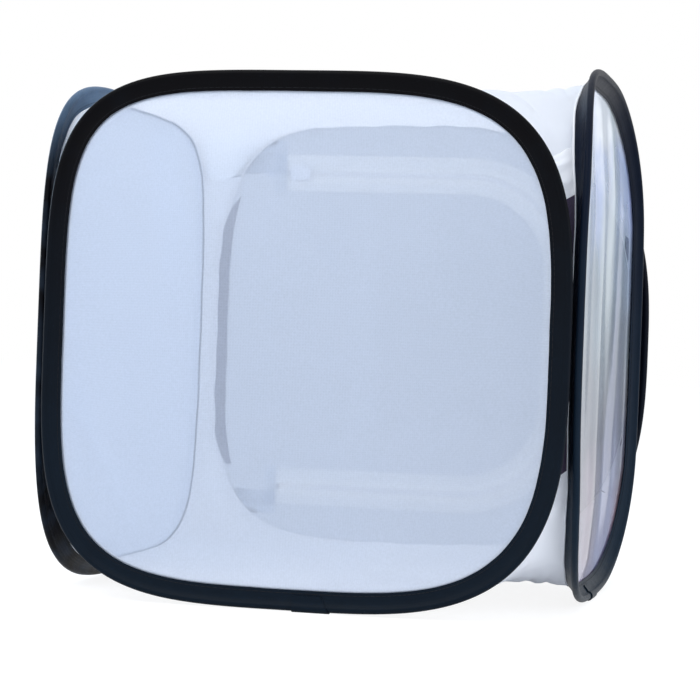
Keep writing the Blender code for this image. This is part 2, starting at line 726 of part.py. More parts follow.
def make_back(loop, finishes, back, door):
    """Builds the back panel's mesh, the door and the fixed parts of the zip."""
    rim = [s.point(FLANGE_REACH - SLOT_DEPTH, 0.0) for s in loop.ring()]
    for name, outlines, parent in (
        ("back_mesh", [rim, door_opening()], back), ("door_mesh", [door_outline()], door),
    ):
        thicken(make_object(name, flat_fill(outlines), finishes["mesh"], parent), MESH_THICKNESS)
    hinge = DOOR_HINGE_X - ZIP_END_X
    tape_start = hinge + DOOR_TAPE_START
    teeth_start = hinge + DOOR_TEETH_START
    nose = SLIDER_REST_X - SLIDER_LENGTH / 2 - ZIP_END_X
    tail = nose + SLIDER_INSET + SLIDER_POST_LENGTH + TOOTH_HEAD / 2 + GAP
    make_object("zip_tape_outer", zip_tape(0.0, ZIP.length, 1), finishes["tape"], back)
    make_object(
        "zip_tape_inner", zip_tape(tape_start, ZIP.length - tape_start, -1), finishes["tape"], door
    )
    make_object("zip_teeth_outer", zip_teeth(tail, ZIP.length - tail, 1), finishes["nylon"], back)
    make_object(
        "zip_teeth_inner", zip_teeth(teeth_start, ZIP.length - teeth_start, -1), finishes["nylon"], door
    )
    for name, side, z in (("zip_top_stop", 1, ZIP_TOP_Z), ("zip_bottom_stop", -1, ZIP_BOTTOM_Z)):
        stop = box_outline(GAP, GAP + STOP_LENGTH, -side * TOOTH_OVERLAP, side * (TAPE_EDGE - GAP))
        make_object(name, prism(stop, TEETH_LOW, TEETH_HIGH, on_back(ZIP_END_X, z)), finishes["steel"], back)
    reach = TAPE_EDGE + ZIP_TAPE_WIDTH
    patch = box_outline(-PATCH_WIDTH - 2 * GAP, -2 * GAP, -reach, reach)
    for name, z in (("zip_end_patch_top", ZIP_TOP_Z), ("zip_end_patch_bottom", ZIP_BOTTOM_Z)):
        make_object(name, prism(patch, TAPE_LOW, TAPE_HIGH, on_back(ZIP_END_X, z)), finishes["tape"], back)


def make_finishes():
    return {
        "binding": material("black_binding", (0.010, 0.012, 0.020), 0.65),
        "mesh": material("white_mesh", (0.78, 0.82, 0.90), 0.8, alpha=0.6),
        "fabric": material("white_fabric", (0.90, 0.92, 0.96), 0.8),
        "window": material("clear_window", (0.80, 0.84, 0.88), 0.1, alpha=0.3),
        "tape": material("white_zip_tape", (0.88, 0.90, 0.94), 0.75),
        "nylon": material("white_nylon", (0.90, 0.91, 0.92), 0.4),
        "steel": material("spring_steel", (0.55, 0.55, 0.56), 0.3, metallic=1.0),
        "slider": material("white_enamel", (0.85, 0.86, 0.88), 0.35, metallic=0.0),
    }


def stand_on_origin():
    """Shifts the whole cage so that the origin is at the middle of its underside."""
    bpy.context.view_layer.update()
    graph = bpy.context.evaluated_depsgraph_get()
    corners = []
    for piece in bpy.data.objects:
        if piece.type == "MESH" and not piece.hide_render:
            shown = piece.evaluated_get(graph)
            corners += [shown.matrix_world @ v.co for v in shown.to_mesh().vertices]
            shown.to_mesh_clear()
    low = Vector([min(c[n] for c in corners) for n in range(3)])
    high = Vector([max(c[n] for c in corners) for n in range(3)])
    shift = Vector(((low.x + high.x) / -2, (low.y + high.y) / -2, -low.z))
    for piece in bpy.data.objects:
        if piece.parent is None:
            piece.location = piece.location + shift
    bpy.context.view_layer.update()
    print("size", [round(v, 4) for v in high - low], "shift", [round(v, 5) for v in shift])
    for piece in bpy.data.objects:
        if piece.type == "EMPTY":
            print(piece.name, [round(v, 5) for v in piece.matrix_world.translation])


def main():
    for old in list(bpy.data.objects):
        bpy.data.objects.remove(old, do_unlink=True)
    finishes = make_finishes()
    loops = make_loops()
    front = joint_empty("front_panel", (0.0, 0.0, 0.0))
    left = joint_empty("fold_axis", corner_axis(-1, -1), front)
    back = joint_empty("back_fold_axis", corner_axis(-1, 1), left)
    right = joint_empty("right_fold_axis", corner_axis(1, -1), front)
    door = joint_empty("door_axis", (DOOR_HINGE_X, BACK_PLANE + TAPE_LOW, 0.0), back)
    slider = joint_empty("zip_slider_rest", (SLIDER_REST_X, BACK_PLANE, ZIP_TOP_Z), back)
    pull = joint_empty("pull_axis", (SLIDER_REST_X, BACK_PLANE + PULL_AXIS_HEIGHT, ZIP_TOP_Z), slider)
    bodies = {"front": front, "left": left, "back": back, "right": right}
    for name, loop in loops.items():
        make_frame_pieces(loop, finishes, bodies[name])
    for name, sheet, finish in (
        ("front", "front_mesh", "mesh"), ("left", "left_mesh", "mesh"), ("right", "right_window", "window"),
    ):
        thicken(
            make_object(sheet, panel_sheet(loops[name]), finishes[finish], bodies[name]), MESH_THICKNESS
        )
    for name, upper in (("top_panel", True), ("floor_panel", False)):
        thicken(make_object(name, cover_sheet(loops, upper), finishes["fabric"], front), FABRIC_THICKNESS)
    carriers = {"front_right": front, "front_left": front, "back_left": left, "back_right": right}
    for corner, carrier in carriers.items():
        made = make_object(f"{corner}_corner_tape", corner_sheet(loops, corner), finishes["binding"], carrier)
        thicken(made, FABRIC_THICKNESS)
    make_back(loops["back"], finishes, back, door)
    make_slider(finishes["slider"], slider)
    make_pull(finishes["slider"], pull)
    stand_on_origin()


main()
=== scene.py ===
"""Rendered model of a pop-up insect cage of four sprung, fabric-bound loops.

The solid model gives the wires, their ferrules, the zip's stops and every joint. This script lays the
cloth over that frame: bindings with their stitching, see-through mesh, the clear window, the top and
floor, the dark corner tapes and the zip. Metres, +Z up, the front panel faces -Y.
"""

from __future__ import annotations

import json
import logging
import math
from dataclasses import dataclass, field
from enum import Enum
from typing import Callable, NamedTuple, Sequence

import bmesh
import bpy
from mathutils import Matrix, Vector, noise
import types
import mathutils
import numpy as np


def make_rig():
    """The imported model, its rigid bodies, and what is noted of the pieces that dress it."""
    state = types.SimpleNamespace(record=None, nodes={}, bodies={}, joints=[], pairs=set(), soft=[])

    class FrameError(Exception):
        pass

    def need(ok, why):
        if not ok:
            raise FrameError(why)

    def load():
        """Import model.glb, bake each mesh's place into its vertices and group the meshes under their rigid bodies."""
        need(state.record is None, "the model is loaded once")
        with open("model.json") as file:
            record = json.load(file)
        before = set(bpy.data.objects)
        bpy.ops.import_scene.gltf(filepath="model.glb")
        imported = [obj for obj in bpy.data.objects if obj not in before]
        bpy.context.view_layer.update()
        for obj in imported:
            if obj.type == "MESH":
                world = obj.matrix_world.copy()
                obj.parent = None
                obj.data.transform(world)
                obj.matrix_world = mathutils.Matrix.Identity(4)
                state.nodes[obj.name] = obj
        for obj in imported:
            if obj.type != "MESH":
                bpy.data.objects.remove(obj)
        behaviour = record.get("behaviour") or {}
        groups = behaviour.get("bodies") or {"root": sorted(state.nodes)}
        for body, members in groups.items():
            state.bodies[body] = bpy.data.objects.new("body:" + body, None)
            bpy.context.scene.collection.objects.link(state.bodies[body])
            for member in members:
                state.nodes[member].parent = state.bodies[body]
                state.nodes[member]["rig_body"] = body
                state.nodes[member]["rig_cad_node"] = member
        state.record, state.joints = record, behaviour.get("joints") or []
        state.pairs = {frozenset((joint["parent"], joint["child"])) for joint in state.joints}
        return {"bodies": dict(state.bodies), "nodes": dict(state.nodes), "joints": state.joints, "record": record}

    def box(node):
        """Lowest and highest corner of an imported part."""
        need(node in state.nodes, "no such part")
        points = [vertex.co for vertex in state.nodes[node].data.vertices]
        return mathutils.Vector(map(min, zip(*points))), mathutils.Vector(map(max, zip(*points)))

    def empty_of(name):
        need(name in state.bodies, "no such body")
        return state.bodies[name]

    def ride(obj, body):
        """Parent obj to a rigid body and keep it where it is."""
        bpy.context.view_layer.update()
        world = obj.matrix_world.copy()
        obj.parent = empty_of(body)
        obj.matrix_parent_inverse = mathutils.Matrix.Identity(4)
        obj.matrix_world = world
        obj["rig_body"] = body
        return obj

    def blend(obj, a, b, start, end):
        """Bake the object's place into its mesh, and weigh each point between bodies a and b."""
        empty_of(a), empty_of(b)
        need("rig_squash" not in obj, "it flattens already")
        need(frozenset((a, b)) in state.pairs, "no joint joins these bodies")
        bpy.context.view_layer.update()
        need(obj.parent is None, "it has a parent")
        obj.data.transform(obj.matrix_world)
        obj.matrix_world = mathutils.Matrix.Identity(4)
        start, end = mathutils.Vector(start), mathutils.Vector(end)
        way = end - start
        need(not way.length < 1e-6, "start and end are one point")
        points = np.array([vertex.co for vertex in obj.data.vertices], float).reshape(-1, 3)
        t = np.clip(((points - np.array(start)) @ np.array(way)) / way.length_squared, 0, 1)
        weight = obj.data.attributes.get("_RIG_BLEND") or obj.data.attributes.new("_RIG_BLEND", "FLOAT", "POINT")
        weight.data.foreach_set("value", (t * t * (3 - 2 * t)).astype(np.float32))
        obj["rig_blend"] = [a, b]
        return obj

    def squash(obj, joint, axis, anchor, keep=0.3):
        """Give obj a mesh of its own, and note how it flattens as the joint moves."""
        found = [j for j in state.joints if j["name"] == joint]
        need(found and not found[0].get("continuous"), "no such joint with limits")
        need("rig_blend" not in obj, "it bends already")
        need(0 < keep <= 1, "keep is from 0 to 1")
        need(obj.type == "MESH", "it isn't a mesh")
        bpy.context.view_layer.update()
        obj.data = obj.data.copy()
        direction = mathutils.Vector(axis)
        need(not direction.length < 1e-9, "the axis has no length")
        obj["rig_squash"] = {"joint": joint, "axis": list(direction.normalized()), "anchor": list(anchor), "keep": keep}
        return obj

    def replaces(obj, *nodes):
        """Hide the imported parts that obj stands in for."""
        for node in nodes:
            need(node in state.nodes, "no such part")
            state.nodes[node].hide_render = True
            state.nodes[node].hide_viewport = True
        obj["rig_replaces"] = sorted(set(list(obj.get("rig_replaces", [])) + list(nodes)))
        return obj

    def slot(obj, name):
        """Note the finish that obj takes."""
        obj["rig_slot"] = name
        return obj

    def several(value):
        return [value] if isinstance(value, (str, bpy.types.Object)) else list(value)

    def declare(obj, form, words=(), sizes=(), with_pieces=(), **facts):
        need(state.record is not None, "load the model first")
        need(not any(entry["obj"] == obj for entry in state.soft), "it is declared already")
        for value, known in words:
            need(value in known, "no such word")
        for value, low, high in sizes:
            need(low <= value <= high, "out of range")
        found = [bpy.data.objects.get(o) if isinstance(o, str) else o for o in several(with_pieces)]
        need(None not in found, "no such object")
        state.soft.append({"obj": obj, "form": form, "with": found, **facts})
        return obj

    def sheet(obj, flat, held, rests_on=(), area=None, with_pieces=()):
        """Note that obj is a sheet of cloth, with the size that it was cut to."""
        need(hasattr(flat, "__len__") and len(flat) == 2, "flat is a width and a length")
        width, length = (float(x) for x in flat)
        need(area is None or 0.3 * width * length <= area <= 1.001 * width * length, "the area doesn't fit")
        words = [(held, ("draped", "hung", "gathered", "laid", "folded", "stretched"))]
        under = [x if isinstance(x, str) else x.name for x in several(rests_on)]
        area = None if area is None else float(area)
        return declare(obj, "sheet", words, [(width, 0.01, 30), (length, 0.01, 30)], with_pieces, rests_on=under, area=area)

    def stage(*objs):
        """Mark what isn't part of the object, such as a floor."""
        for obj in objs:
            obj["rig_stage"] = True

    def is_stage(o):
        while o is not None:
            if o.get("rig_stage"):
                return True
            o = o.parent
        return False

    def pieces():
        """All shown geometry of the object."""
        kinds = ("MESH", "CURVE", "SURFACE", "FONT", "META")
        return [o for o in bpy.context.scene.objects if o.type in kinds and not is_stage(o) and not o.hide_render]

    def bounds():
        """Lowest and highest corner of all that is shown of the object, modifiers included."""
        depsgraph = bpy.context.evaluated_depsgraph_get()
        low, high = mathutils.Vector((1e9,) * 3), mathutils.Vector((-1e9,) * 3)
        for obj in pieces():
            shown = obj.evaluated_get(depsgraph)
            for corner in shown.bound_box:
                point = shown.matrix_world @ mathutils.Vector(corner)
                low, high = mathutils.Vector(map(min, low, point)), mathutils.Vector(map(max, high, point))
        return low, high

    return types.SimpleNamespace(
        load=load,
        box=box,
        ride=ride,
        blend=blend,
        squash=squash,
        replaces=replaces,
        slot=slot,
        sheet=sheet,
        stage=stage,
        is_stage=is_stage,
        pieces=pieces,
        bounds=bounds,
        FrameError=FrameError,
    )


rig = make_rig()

LOG = logging.getLogger("cage")
UP = Vector((0.0, 0.0, 1.0))
SIZE_FILE = "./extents.json"
CLOTH_UV = "cloth"
MERGE = 1e-6  # distance at which vertices become one
SHARP = math.radians(50)  # turn from which an edge of the binding is shaded sharp
LAST_TURN = 0.99999  # end of a thread round the loop, just short of its start
SEAM_ALLOWANCE = 0.008  # how much smaller than its loop a panel is cut
LEAST_FILL = 0.32  # share of its rectangle below which a cut is taken to be shorter
TYPICAL_FILL = 0.75  # share of the shorter rectangle that such a cut fills

Piece = bpy.types.Object
Material = bpy.types.Material
BMesh = bmesh.types.BMesh
Socket = bpy.types.NodeSocket
Colour = tuple[float, float, float]
Triple = tuple[float, float, float]
Pair = tuple[float, float]
Faces = tuple[int, int]
Value = float | tuple[float, ...] | Socket
Place = Callable[[float, float], Vector]
Curve = Callable[[float], Vector]
Axes = tuple[Vector, Vector, Vector]
Outline = list[Pair]

WHITE: Colour = (1.0, 1.0, 1.0)


class Body(str, Enum):
    """Moving bodies of the solid model that pieces ride on."""

    FRONT = "front"
    LEFT = "left"
    BACK = "back"
    RIGHT = "right"
    DOOR = "door"
    SLIDER = "slider"
    PULL = "pull"


class Slot(str, Enum):
    """Finishes of the record."""

    BINDING = "black_binding"
    MESH = "white_mesh"
    FABRIC = "white_fabric"
    WINDOW = "clear_window"
    TAPE = "white_zip_tape"
    NYLON = "white_nylon"
    STEEL = "spring_steel"
    ENAMEL = "white_enamel"


class Row(Enum):
    """Halves of the zip, with the side of its line that each lies on."""

    OUTER = 1
    INNER = -1


def smooth(x: float) -> float:
    """Returns x eased from 0 to 1, held outside that range."""
    x = min(1.0, max(0.0, x))
    return x * x * (3 - 2 * x)


def mix(a: float, b: float, share: float) -> float:
    """Returns the value that lies share of the way from a to b."""
    return a + (b - a) * share


class Graph:
    """Node tree of one finish or of the surroundings, built from nothing."""

    def __init__(self, name: str, world: bool = False) -> None:
        """Makes an empty material or world.

        Args:
            name: Its name.
            world: Whether it is a world.
        """
        self.owner = (bpy.data.worlds if world else bpy.data.materials).new(name)
        self.output = "OutputWorld" if world else "OutputMaterial"
        self.owner.use_nodes = True
        self.tree = self.owner.node_tree
        self.tree.nodes.clear()

    def add(self, kind: str, inputs: dict[str | int, Value] | None = None, **settings) -> bpy.types.Node:
        """Adds a node.

        Args:
            kind: The node's type without its "ShaderNode" prefix.
            inputs: Constants or sockets by input name or number, colours without their alpha.
            settings: Attributes of the node.

        Returns:
            The node.
        """
        node = self.tree.nodes.new(f"ShaderNode{kind}")
        for key, value in settings.items():
            setattr(node, key, value)
        for key, value in (inputs or {}).items():
            socket = node.inputs[key]
            if isinstance(value, Socket):
                self.tree.links.new(value, socket)
            else:
                socket.default_value = (*value, 1.0) if socket.type == "RGBA" else value
        return node

    def shader(self, kind: str, inputs: dict[str | int, Value]) -> Socket:
        """Adds a shader and returns its output."""
        return self.add(kind, inputs).outputs[0]

    def mixed(self, share: Value, first: Socket, second: Socket) -> Socket:
        """Returns a shader that goes from first to second with share."""
        return self.shader("MixShader", {0: share, 1: first, 2: second})

    def math(self, operation: str, *values: Value, clamped: bool = False) -> Socket:
        """Returns the result of an operation on two or three values."""
        return self.add("Math", dict(enumerate(values)), operation=operation, use_clamp=clamped).outputs[0]

    def blend_colour(self, share: Value, first: Value, second: Value) -> Socket:
        """Returns a colour that goes from first to second with share."""
        return self.add("Mix", {0: share, 6: first, 7: second}, data_type="RGBA").outputs[2]

    def here(self) -> Socket:
        """Returns the place in the piece's own space."""
        return self.add("TexCoord").outputs["Object"]

    def height(self) -> Socket:
        """Returns the height above the ground."""
        return self.add("SeparateXYZ", {0: self.here()}).outputs[2]

    def object_noise(self, scale: float, detail: float = 2.0) -> Socket:
        """Returns cloudy noise that is fixed to the piece, with scale cells to the metre."""
        return self.add("TexNoise", {"Vector": self.here(), "Scale": scale, "Detail": detail}).outputs["Fac"]

    def ranged(self, value: Socket, low: float, high: float) -> Socket:
        """Returns value, which runs from 0 to 1, spread from low to high."""
        return self.add("MapRange", {"Value": value, "To Min": low, "To Max": high}).outputs["Result"]

    def band(self, value: Socket, low: float, high: float, most: float = 1.0) -> Socket:
        """Returns a share that eases up to most while value goes from low to high."""
        limits = {"Value": value, "From Min": low, "From Max": high, "To Max": most}
        return self.add("MapRange", limits, interpolation_type="SMOOTHSTEP").outputs[0]

    def weave(self, pitch: float) -> Socket:
        """Makes the height of a plain weave on the cloth's own UV.

        Args:
            pitch: Distance between neighbouring threads.

        Returns:
            A value from 0 to 1.
        """
        at = self.add("UVMap", uv_map=CLOTH_UV).outputs["UV"]
        bands = {"Vector": at, "Scale": math.tau / 20 / pitch, "Distortion": 0.8}
        bands.update({"Detail": 1.0, "Detail Scale": 0.6})
        threads = (self.add("TexWave", bands, bands_direction=way).outputs["Fac"] for way in "XY")
        return self.math("MULTIPLY", *threads)

    def bump(self, height: Socket, distance: float, strength: float = 1.0) -> Socket:
        """Returns the normal of a surface raised by height times distance."""
        inputs = {"Height": height, "Distance": distance, "Strength": strength}
        return self.add("Bump", inputs).outputs["Normal"]

    def thin_cloth(self, through: float, look: dict[str, Value]) -> Socket:
        """Returns a shader of thin cloth that lets a share of the light through."""
        return self.mixed(through, self.shader("BsdfDiffuse", look), self.shader("BsdfTranslucent", look))

    def by_ray(self, lit: Socket, seen: Socket, veiled: Socket) -> Socket:
        """Makes a shader that looks otherwise than it lights.

        Args:
            lit: Shader for the light that it sends back.
            seen: Shader for the eye.
            veiled: Shader for the eye through see-through cloth.

        Returns:
            The shader.
        """
        path = self.add("LightPath").outputs
        through = self.math("GREATER_THAN", path["Transparent Depth"], 0.5)
        looked = path["Is Camera Ray"]
        for kind in ("Is Glossy Ray", "Is Transmission Ray"):
            looked = self.math("MAXIMUM", looked, path[kind])
        return self.mixed(looked, lit, self.mixed(through, seen, veiled))

    def finish(self, shader: Socket) -> Material | bpy.types.World:
        """Connects the last shader and returns the material or world."""
        self.add(self.output, {"Surface": shader})
        return self.owner


@dataclass(frozen=True)
class ClothFinish:
    """Dense woven cloth or thread."""

    name: str
    colour: Colour
    shade: Colour
    roughness: float
    pitch: float = 0.0007
    depth: float = 0.00012
    cloud_scale: float = 55.0
    thread_shade: float = 0.35
    gloss: float = 0.3

    def build(self) -> Material:
        """Mixes the finish.

        Returns:
            The material.
        """
        graph = Graph(self.name)
        weave = graph.weave(self.pitch)
        colour = graph.blend_colour(graph.object_noise(self.cloud_scale, 3.0), self.colour, self.shade)
        colour = graph.blend_colour(graph.ranged(weave, 0.0, self.thread_shade), colour, self.shade)
        look = {"Base Color": colour, "Roughness": self.roughness, "Specular IOR Level": self.gloss}
        look["Normal"] = graph.bump(weave, self.depth)
        return graph.finish(graph.shader("BsdfPrincipled", look))


@dataclass(frozen=True)
class BindingFinish:
    """Dark navy binding, blended by height from a foot colour to a top colour, whose bluer, lighter end is painted
    bluish light.
    """

    name: str
    # foot bluer and lighter than the top: painted bluish light
    top: Colour = (0.0014, 0.0014, 0.0024)
    foot: Colour = (0.0042, 0.0090, 0.0160)
    height: float = 0.32
    foot_height: float = 0.0
    pitch: float = 0.0007
    cloud_scale: float = 38.0
    cloud: float = 0.5
    cloud_middle: float = 0.22
    crease_scale: float = 70.0
    crease_depth: float = 0.0008
    weave_share: float = 0.08
    roughness: float = 0.42
    gloss: float = 0.06

    def build(self) -> Material:
        """Mixes the finish.

        Returns:
            The material.
        """
        graph = Graph(self.name)
        # blend by height from the foot colour to the top colour; the bluer end is painted bluish light
        level = graph.band(graph.height(), self.foot_height, self.height)
        share = graph.math("MULTIPLY_ADD", graph.object_noise(self.cloud_scale, 3.0), self.cloud, level)
        share = graph.math("SUBTRACT", share, self.cloud_middle, clamped=True)
        creases = graph.object_noise(self.crease_scale, 3.0)
        height = graph.math("MULTIPLY_ADD", graph.weave(self.pitch), self.weave_share, creases)
        look = {"Roughness": self.roughness, "Specular IOR Level": self.gloss}
        look["Base Color"] = graph.blend_colour(share, self.foot, self.top)
        look["Normal"] = graph.bump(height, self.crease_depth, 0.6)
        return graph.finish(graph.shader("BsdfPrincipled", look))


@dataclass(frozen=True)
class ThinClothFinish:
    """Thin white cloth that light passes through."""

    name: str
    colour: Colour
    through: float
    pitch: float = 0.0006
    weave_share: float = 0.12
    crease_scale: float = 26.0
    crease_depth: float = 0.0012

    def build(self) -> Material:
        """Mixes the finish.

        Returns:
            The material.
        """
        graph = Graph(self.name)
        creases = graph.object_noise(self.crease_scale, 4.0)
        height = graph.math("MULTIPLY_ADD", graph.weave(self.pitch), self.weave_share, creases)
        look = {"Color": self.colour, "Normal": graph.bump(height, self.crease_depth, 0.5)}
        return graph.finish(graph.thin_cloth(self.through, look))


@dataclass(frozen=True)
class VeilFinish:
    """Fine see-through mesh."""

    name: str
    colour: Colour
    cover: float
    through: float = 0.5
    pitch: float = 0.0011
    grain: float = 0.035
    cloud_scale: float = 9.0
    fleck_scale: float = 900.0
    unevenness: float = 0.10

    def build(self) -> Material:
        """Mixes the finish.

        Returns:
            The material.
        """
        graph = Graph(self.name)
        half = self.grain / 2
        cover = graph.ranged(graph.weave(self.pitch), self.cover + half, self.cover - half)
        for scale, detail in ((self.cloud_scale, 3.0), (self.fleck_scale, 1.0)):
            cover = graph.math("MULTIPLY_ADD", graph.object_noise(scale, detail), self.unevenness, cover)
        cover = graph.math("SUBTRACT", cover, self.unevenness, clamped=True)
        clear = graph.shader("BsdfTransparent", {"Color": WHITE})
        return graph.finish(graph.mixed(cover, clear, graph.thin_cloth(self.through, {"Color": self.colour})))


@dataclass(frozen=True)
class FilmFinish:
    """Clear soft sheet with upright folds, its colour painted with reflections: bands by height and upright streaks."""

    name: str
    tint: Colour = (0.86, 0.89, 0.92)
    cover: Pair = (0.46, 0.82)
    height: float = 0.32
    # painted reflections by height, from lavender and dark low down to white at the top
    painted_reflections: tuple[tuple[float, Colour], ...] = (
        (0.0, (0.44, 0.37, 0.50)),
        (0.12, (0.38, 0.27, 0.30)),
        (0.26, (0.145, 0.125, 0.14)),
        (0.44, (0.185, 0.200, 0.215)),
        (0.64, (0.250, 0.330, 0.370)),
        (0.80, (0.50, 0.60, 0.88)),
        (0.90, (0.98, 1.0, 1.0)),
    )
    cloud_scale: float = 17.0
    cloud: float = 0.50
    streak: float = 0.30
    broad_scale: float = 12.0
    narrow_scale: float = 21.0
    # lavender, pale and slate streaks of painted reflection, with their noise bands and heights
    lavender_reflection: Colour = (0.32, 0.35, 0.62)
    lavender_reflection_band: Triple = (0.54, 0.32, 0.75)
    pale_reflection: Colour = (0.62, 0.70, 0.70)
    pale_reflection_band: Triple = (0.52, 0.72, 0.9)
    pale_reflection_heights: Triple = (0.05, 0.256, 0.85)
    slate_reflection: Colour = (0.15, 0.19, 0.32)
    slate_reflection_band: Triple = (0.46, 0.28, 0.55)
    roughness: float = 0.17
    gloss: float = 0.8
    relief: float = 0.011

    def reflections_by_height(self, graph: Graph) -> Socket:
        """Colours the painted reflections by height, their limits blurred by broad clouds.

        Args:
            graph: The finish's graph.

        Returns:
            The colour.
        """
        level = graph.math("MULTIPLY", graph.height(), 1 / self.height)
        level = graph.math("MULTIPLY_ADD", graph.object_noise(self.cloud_scale, 3.0), self.cloud, level)
        ramp = graph.add("ValToRGB", {0: graph.math("SUBTRACT", level, self.cloud / 2)})
        stops = ramp.color_ramp.elements
        for stop, (position, colour) in ((stops[0], self.painted_reflections[0]), (stops[1], self.painted_reflections[-1])):
            stop.position, stop.color = position, (*colour, 1.0)
        for position, colour in self.painted_reflections[1:-1]:
            stops.new(position).color = (*colour, 1.0)
        return ramp.outputs[0]

    def build(self) -> Material:
        """Mixes the finish.

        Returns:
            The material.
        """
        graph = Graph(self.name)
        upright = graph.add("Mapping", {"Vector": graph.here(), "Scale": (1.0, 1.0, self.streak)}).outputs[0]
        wavy = {"Vector": upright, "Scale": self.broad_scale, "Detail": 1.0, "Distortion": 0.6}
        broad = graph.add("TexNoise", wavy).outputs["Fac"]
        straight = {"Vector": upright, "Scale": self.narrow_scale, "Detail": 1.0}
        narrow = graph.add("TexNoise", straight).outputs["Fac"]
        # the film's colour is painted reflection: bands by height, then lavender, pale and slate streaks
        reflection = self.reflections_by_height(graph)
        reflection = graph.blend_colour(graph.band(broad, *self.lavender_reflection_band), reflection, self.lavender_reflection)
        high = graph.band(graph.height(), *self.pale_reflection_heights)
        shine = graph.math("MULTIPLY", graph.band(broad, *self.pale_reflection_band), high)
        reflection = graph.blend_colour(shine, reflection, self.pale_reflection)
        reflection = graph.blend_colour(graph.band(narrow, *self.slate_reflection_band), reflection, self.slate_reflection)
        look = {"Base Color": reflection, "Roughness": self.roughness, "Specular IOR Level": self.gloss}
        look["Normal"] = graph.bump(graph.math("MULTIPLY_ADD", narrow, 0.3, broad), self.relief, 0.4)
        clear = graph.shader("BsdfTransparent", {"Color": self.tint})
        cover = graph.ranged(broad, *self.cover)
        return graph.finish(graph.mixed(cover, clear, graph.shader("BsdfPrincipled", look)))


@dataclass(frozen=True)
class HardFinish:
    """Metal, enamel or nylon."""

    name: str
    colour: Colour
    roughness: float
    metallic: float = 0.0
    grain: float = 300.0
    polish: float = 0.08
    wear: float = 0.1
    wear_depth: float = 0.00003

    def build(self) -> Material:
        """Mixes the finish.

        Returns:
            The material.
        """
        graph = Graph(self.name)
        worn = graph.object_noise(self.grain)
        look = {"Base Color": self.colour, "Metallic": self.metallic}
        look["Roughness"] = graph.ranged(worn, self.roughness - self.polish, self.roughness + self.wear)
        look["Normal"] = graph.bump(worn, self.wear_depth)
        return graph.finish(graph.shader("BsdfPrincipled", look))


@dataclass(frozen=True)
class Palette:
    """Every finish of the cage by name, with its slot of the record."""

    finishes: dict[str, tuple[Material, Slot]]

    @classmethod
    def mixed(cls) -> Palette:
        """Mixes every finish.

        Returns:
            The palette.
        """
        recipes = {
            Slot.BINDING: (
                # front, back and right loops: foot colours bluer and lighter than the tops, painted bluish light
                BindingFinish("binding_front"),
                # left loop: blue top colour on its upper arc, painted bluish light
                BindingFinish("binding_left", (0.10, 0.17, 0.27), (0.0012, 0.0014, 0.003), 0.34, 0.23),
                BindingFinish("binding_back", (0.0025, 0.003, 0.008), (0.003, 0.006, 0.012)),
                BindingFinish("binding_right", (0.0024, 0.0055, 0.0150), (0.008, 0.018, 0.031)),
                ClothFinish("corner_tape", (0.030, 0.022, 0.046), (0.085, 0.068, 0.115), 0.9, 0.0016, 0.0002),
                ClothFinish("thread", (0.003, 0.0035, 0.006), (0.007, 0.008, 0.012), 0.8),
            ),
            Slot.MESH: (
                VeilFinish("mesh", (0.76, 0.83, 0.95), 0.50),
                # darker than the front mesh: painted shade on the white back mesh, door included
                VeilFinish("back_mesh", (0.60, 0.66, 0.755), 0.62),
                VeilFinish("side_mesh", (0.72, 0.78, 0.88), 0.88, 0.3),
            ),
            Slot.FABRIC: (
                ThinClothFinish("fabric", (0.94, 0.95, 0.97), 0.14),
                ThinClothFinish("top_fabric", (0.95, 0.96, 0.98), 0.52),
            ),
            Slot.TAPE: (ThinClothFinish("zip_tape", (0.97, 0.97, 0.96), 0.50, 0.0009),),
            Slot.WINDOW: (FilmFinish("window_film"),),
            Slot.NYLON: (HardFinish("nylon", (0.88, 0.89, 0.92), 0.4),),
            Slot.STEEL: (HardFinish("steel", (0.5, 0.5, 0.51), 0.3, 1.0),),
            Slot.ENAMEL: (HardFinish("enamel", (0.80, 0.82, 0.87), 0.33),),
        }
        return cls({recipe.name: (recipe.build(), slot) for slot, made in recipes.items() for recipe in made})

    def dress(self, piece: Piece, finish: str, body: Body | None = None, node: str = "") -> Piece:
        """Gives a piece its only material and its places in the record.

        Args:
            piece: The piece.
            finish: The name of its finish.
            body: The body that it rides on, or none where it bends between two.
            node: The solid that it stands for, if there is one.

        Returns:
            The piece.
        """
        material, slot = self.finishes[finish]
        piece.data.materials.clear()
        piece.data.materials.append(material)
        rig.slot(piece, slot.value)
        if body:
            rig.ride(piece, body.value)
        if node:
            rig.replaces(piece, node)
        return piece


def link(name: str, bm: BMesh) -> Piece:
    """Turns a bmesh into an object of the scene, shaded smooth.

    Args:
        name: The object's name.
        bm: The mesh, which is freed.

    Returns:
        The object, at the origin.
    """
    mesh = bpy.data.meshes.new(name)
    for face in bm.faces:
        face.smooth = True
    bm.to_mesh(mesh)
    bm.free()
    piece = bpy.data.objects.new(name, mesh)
    bpy.context.scene.collection.objects.link(piece)
    return piece


def grid_mesh(faces: Faces, place: Place, size: Pair) -> BMesh:
    """Bends a flat grid into shape.

    Args:
        faces: Count of faces along each direction.
        place: Gives the point of each pair of shares from 0 to 1.
        size: Cloth length along each direction, for the UV.

    Returns:
        The mesh, whose touching edges are merged.
    """
    bm = bmesh.new()
    bmesh.ops.create_grid(bm, x_segments=faces[0], y_segments=faces[1], size=1.0)
    layer = bm.loops.layers.uv.new(CLOTH_UV)
    for face in bm.faces:
        for corner in face.loops:
            at = corner.vert.co
            corner[layer].uv = ((at.x + 1) / 2 * size[0], (at.y + 1) / 2 * size[1])
    for vert in bm.verts:
        vert.co = place(round((vert.co.x + 1) / 2, 7), round((vert.co.y + 1) / 2, 7))
    bmesh.ops.remove_doubles(bm, verts=bm.verts, dist=MERGE)
    bmesh.ops.recalc_face_normals(bm, faces=bm.faces)
    return bm


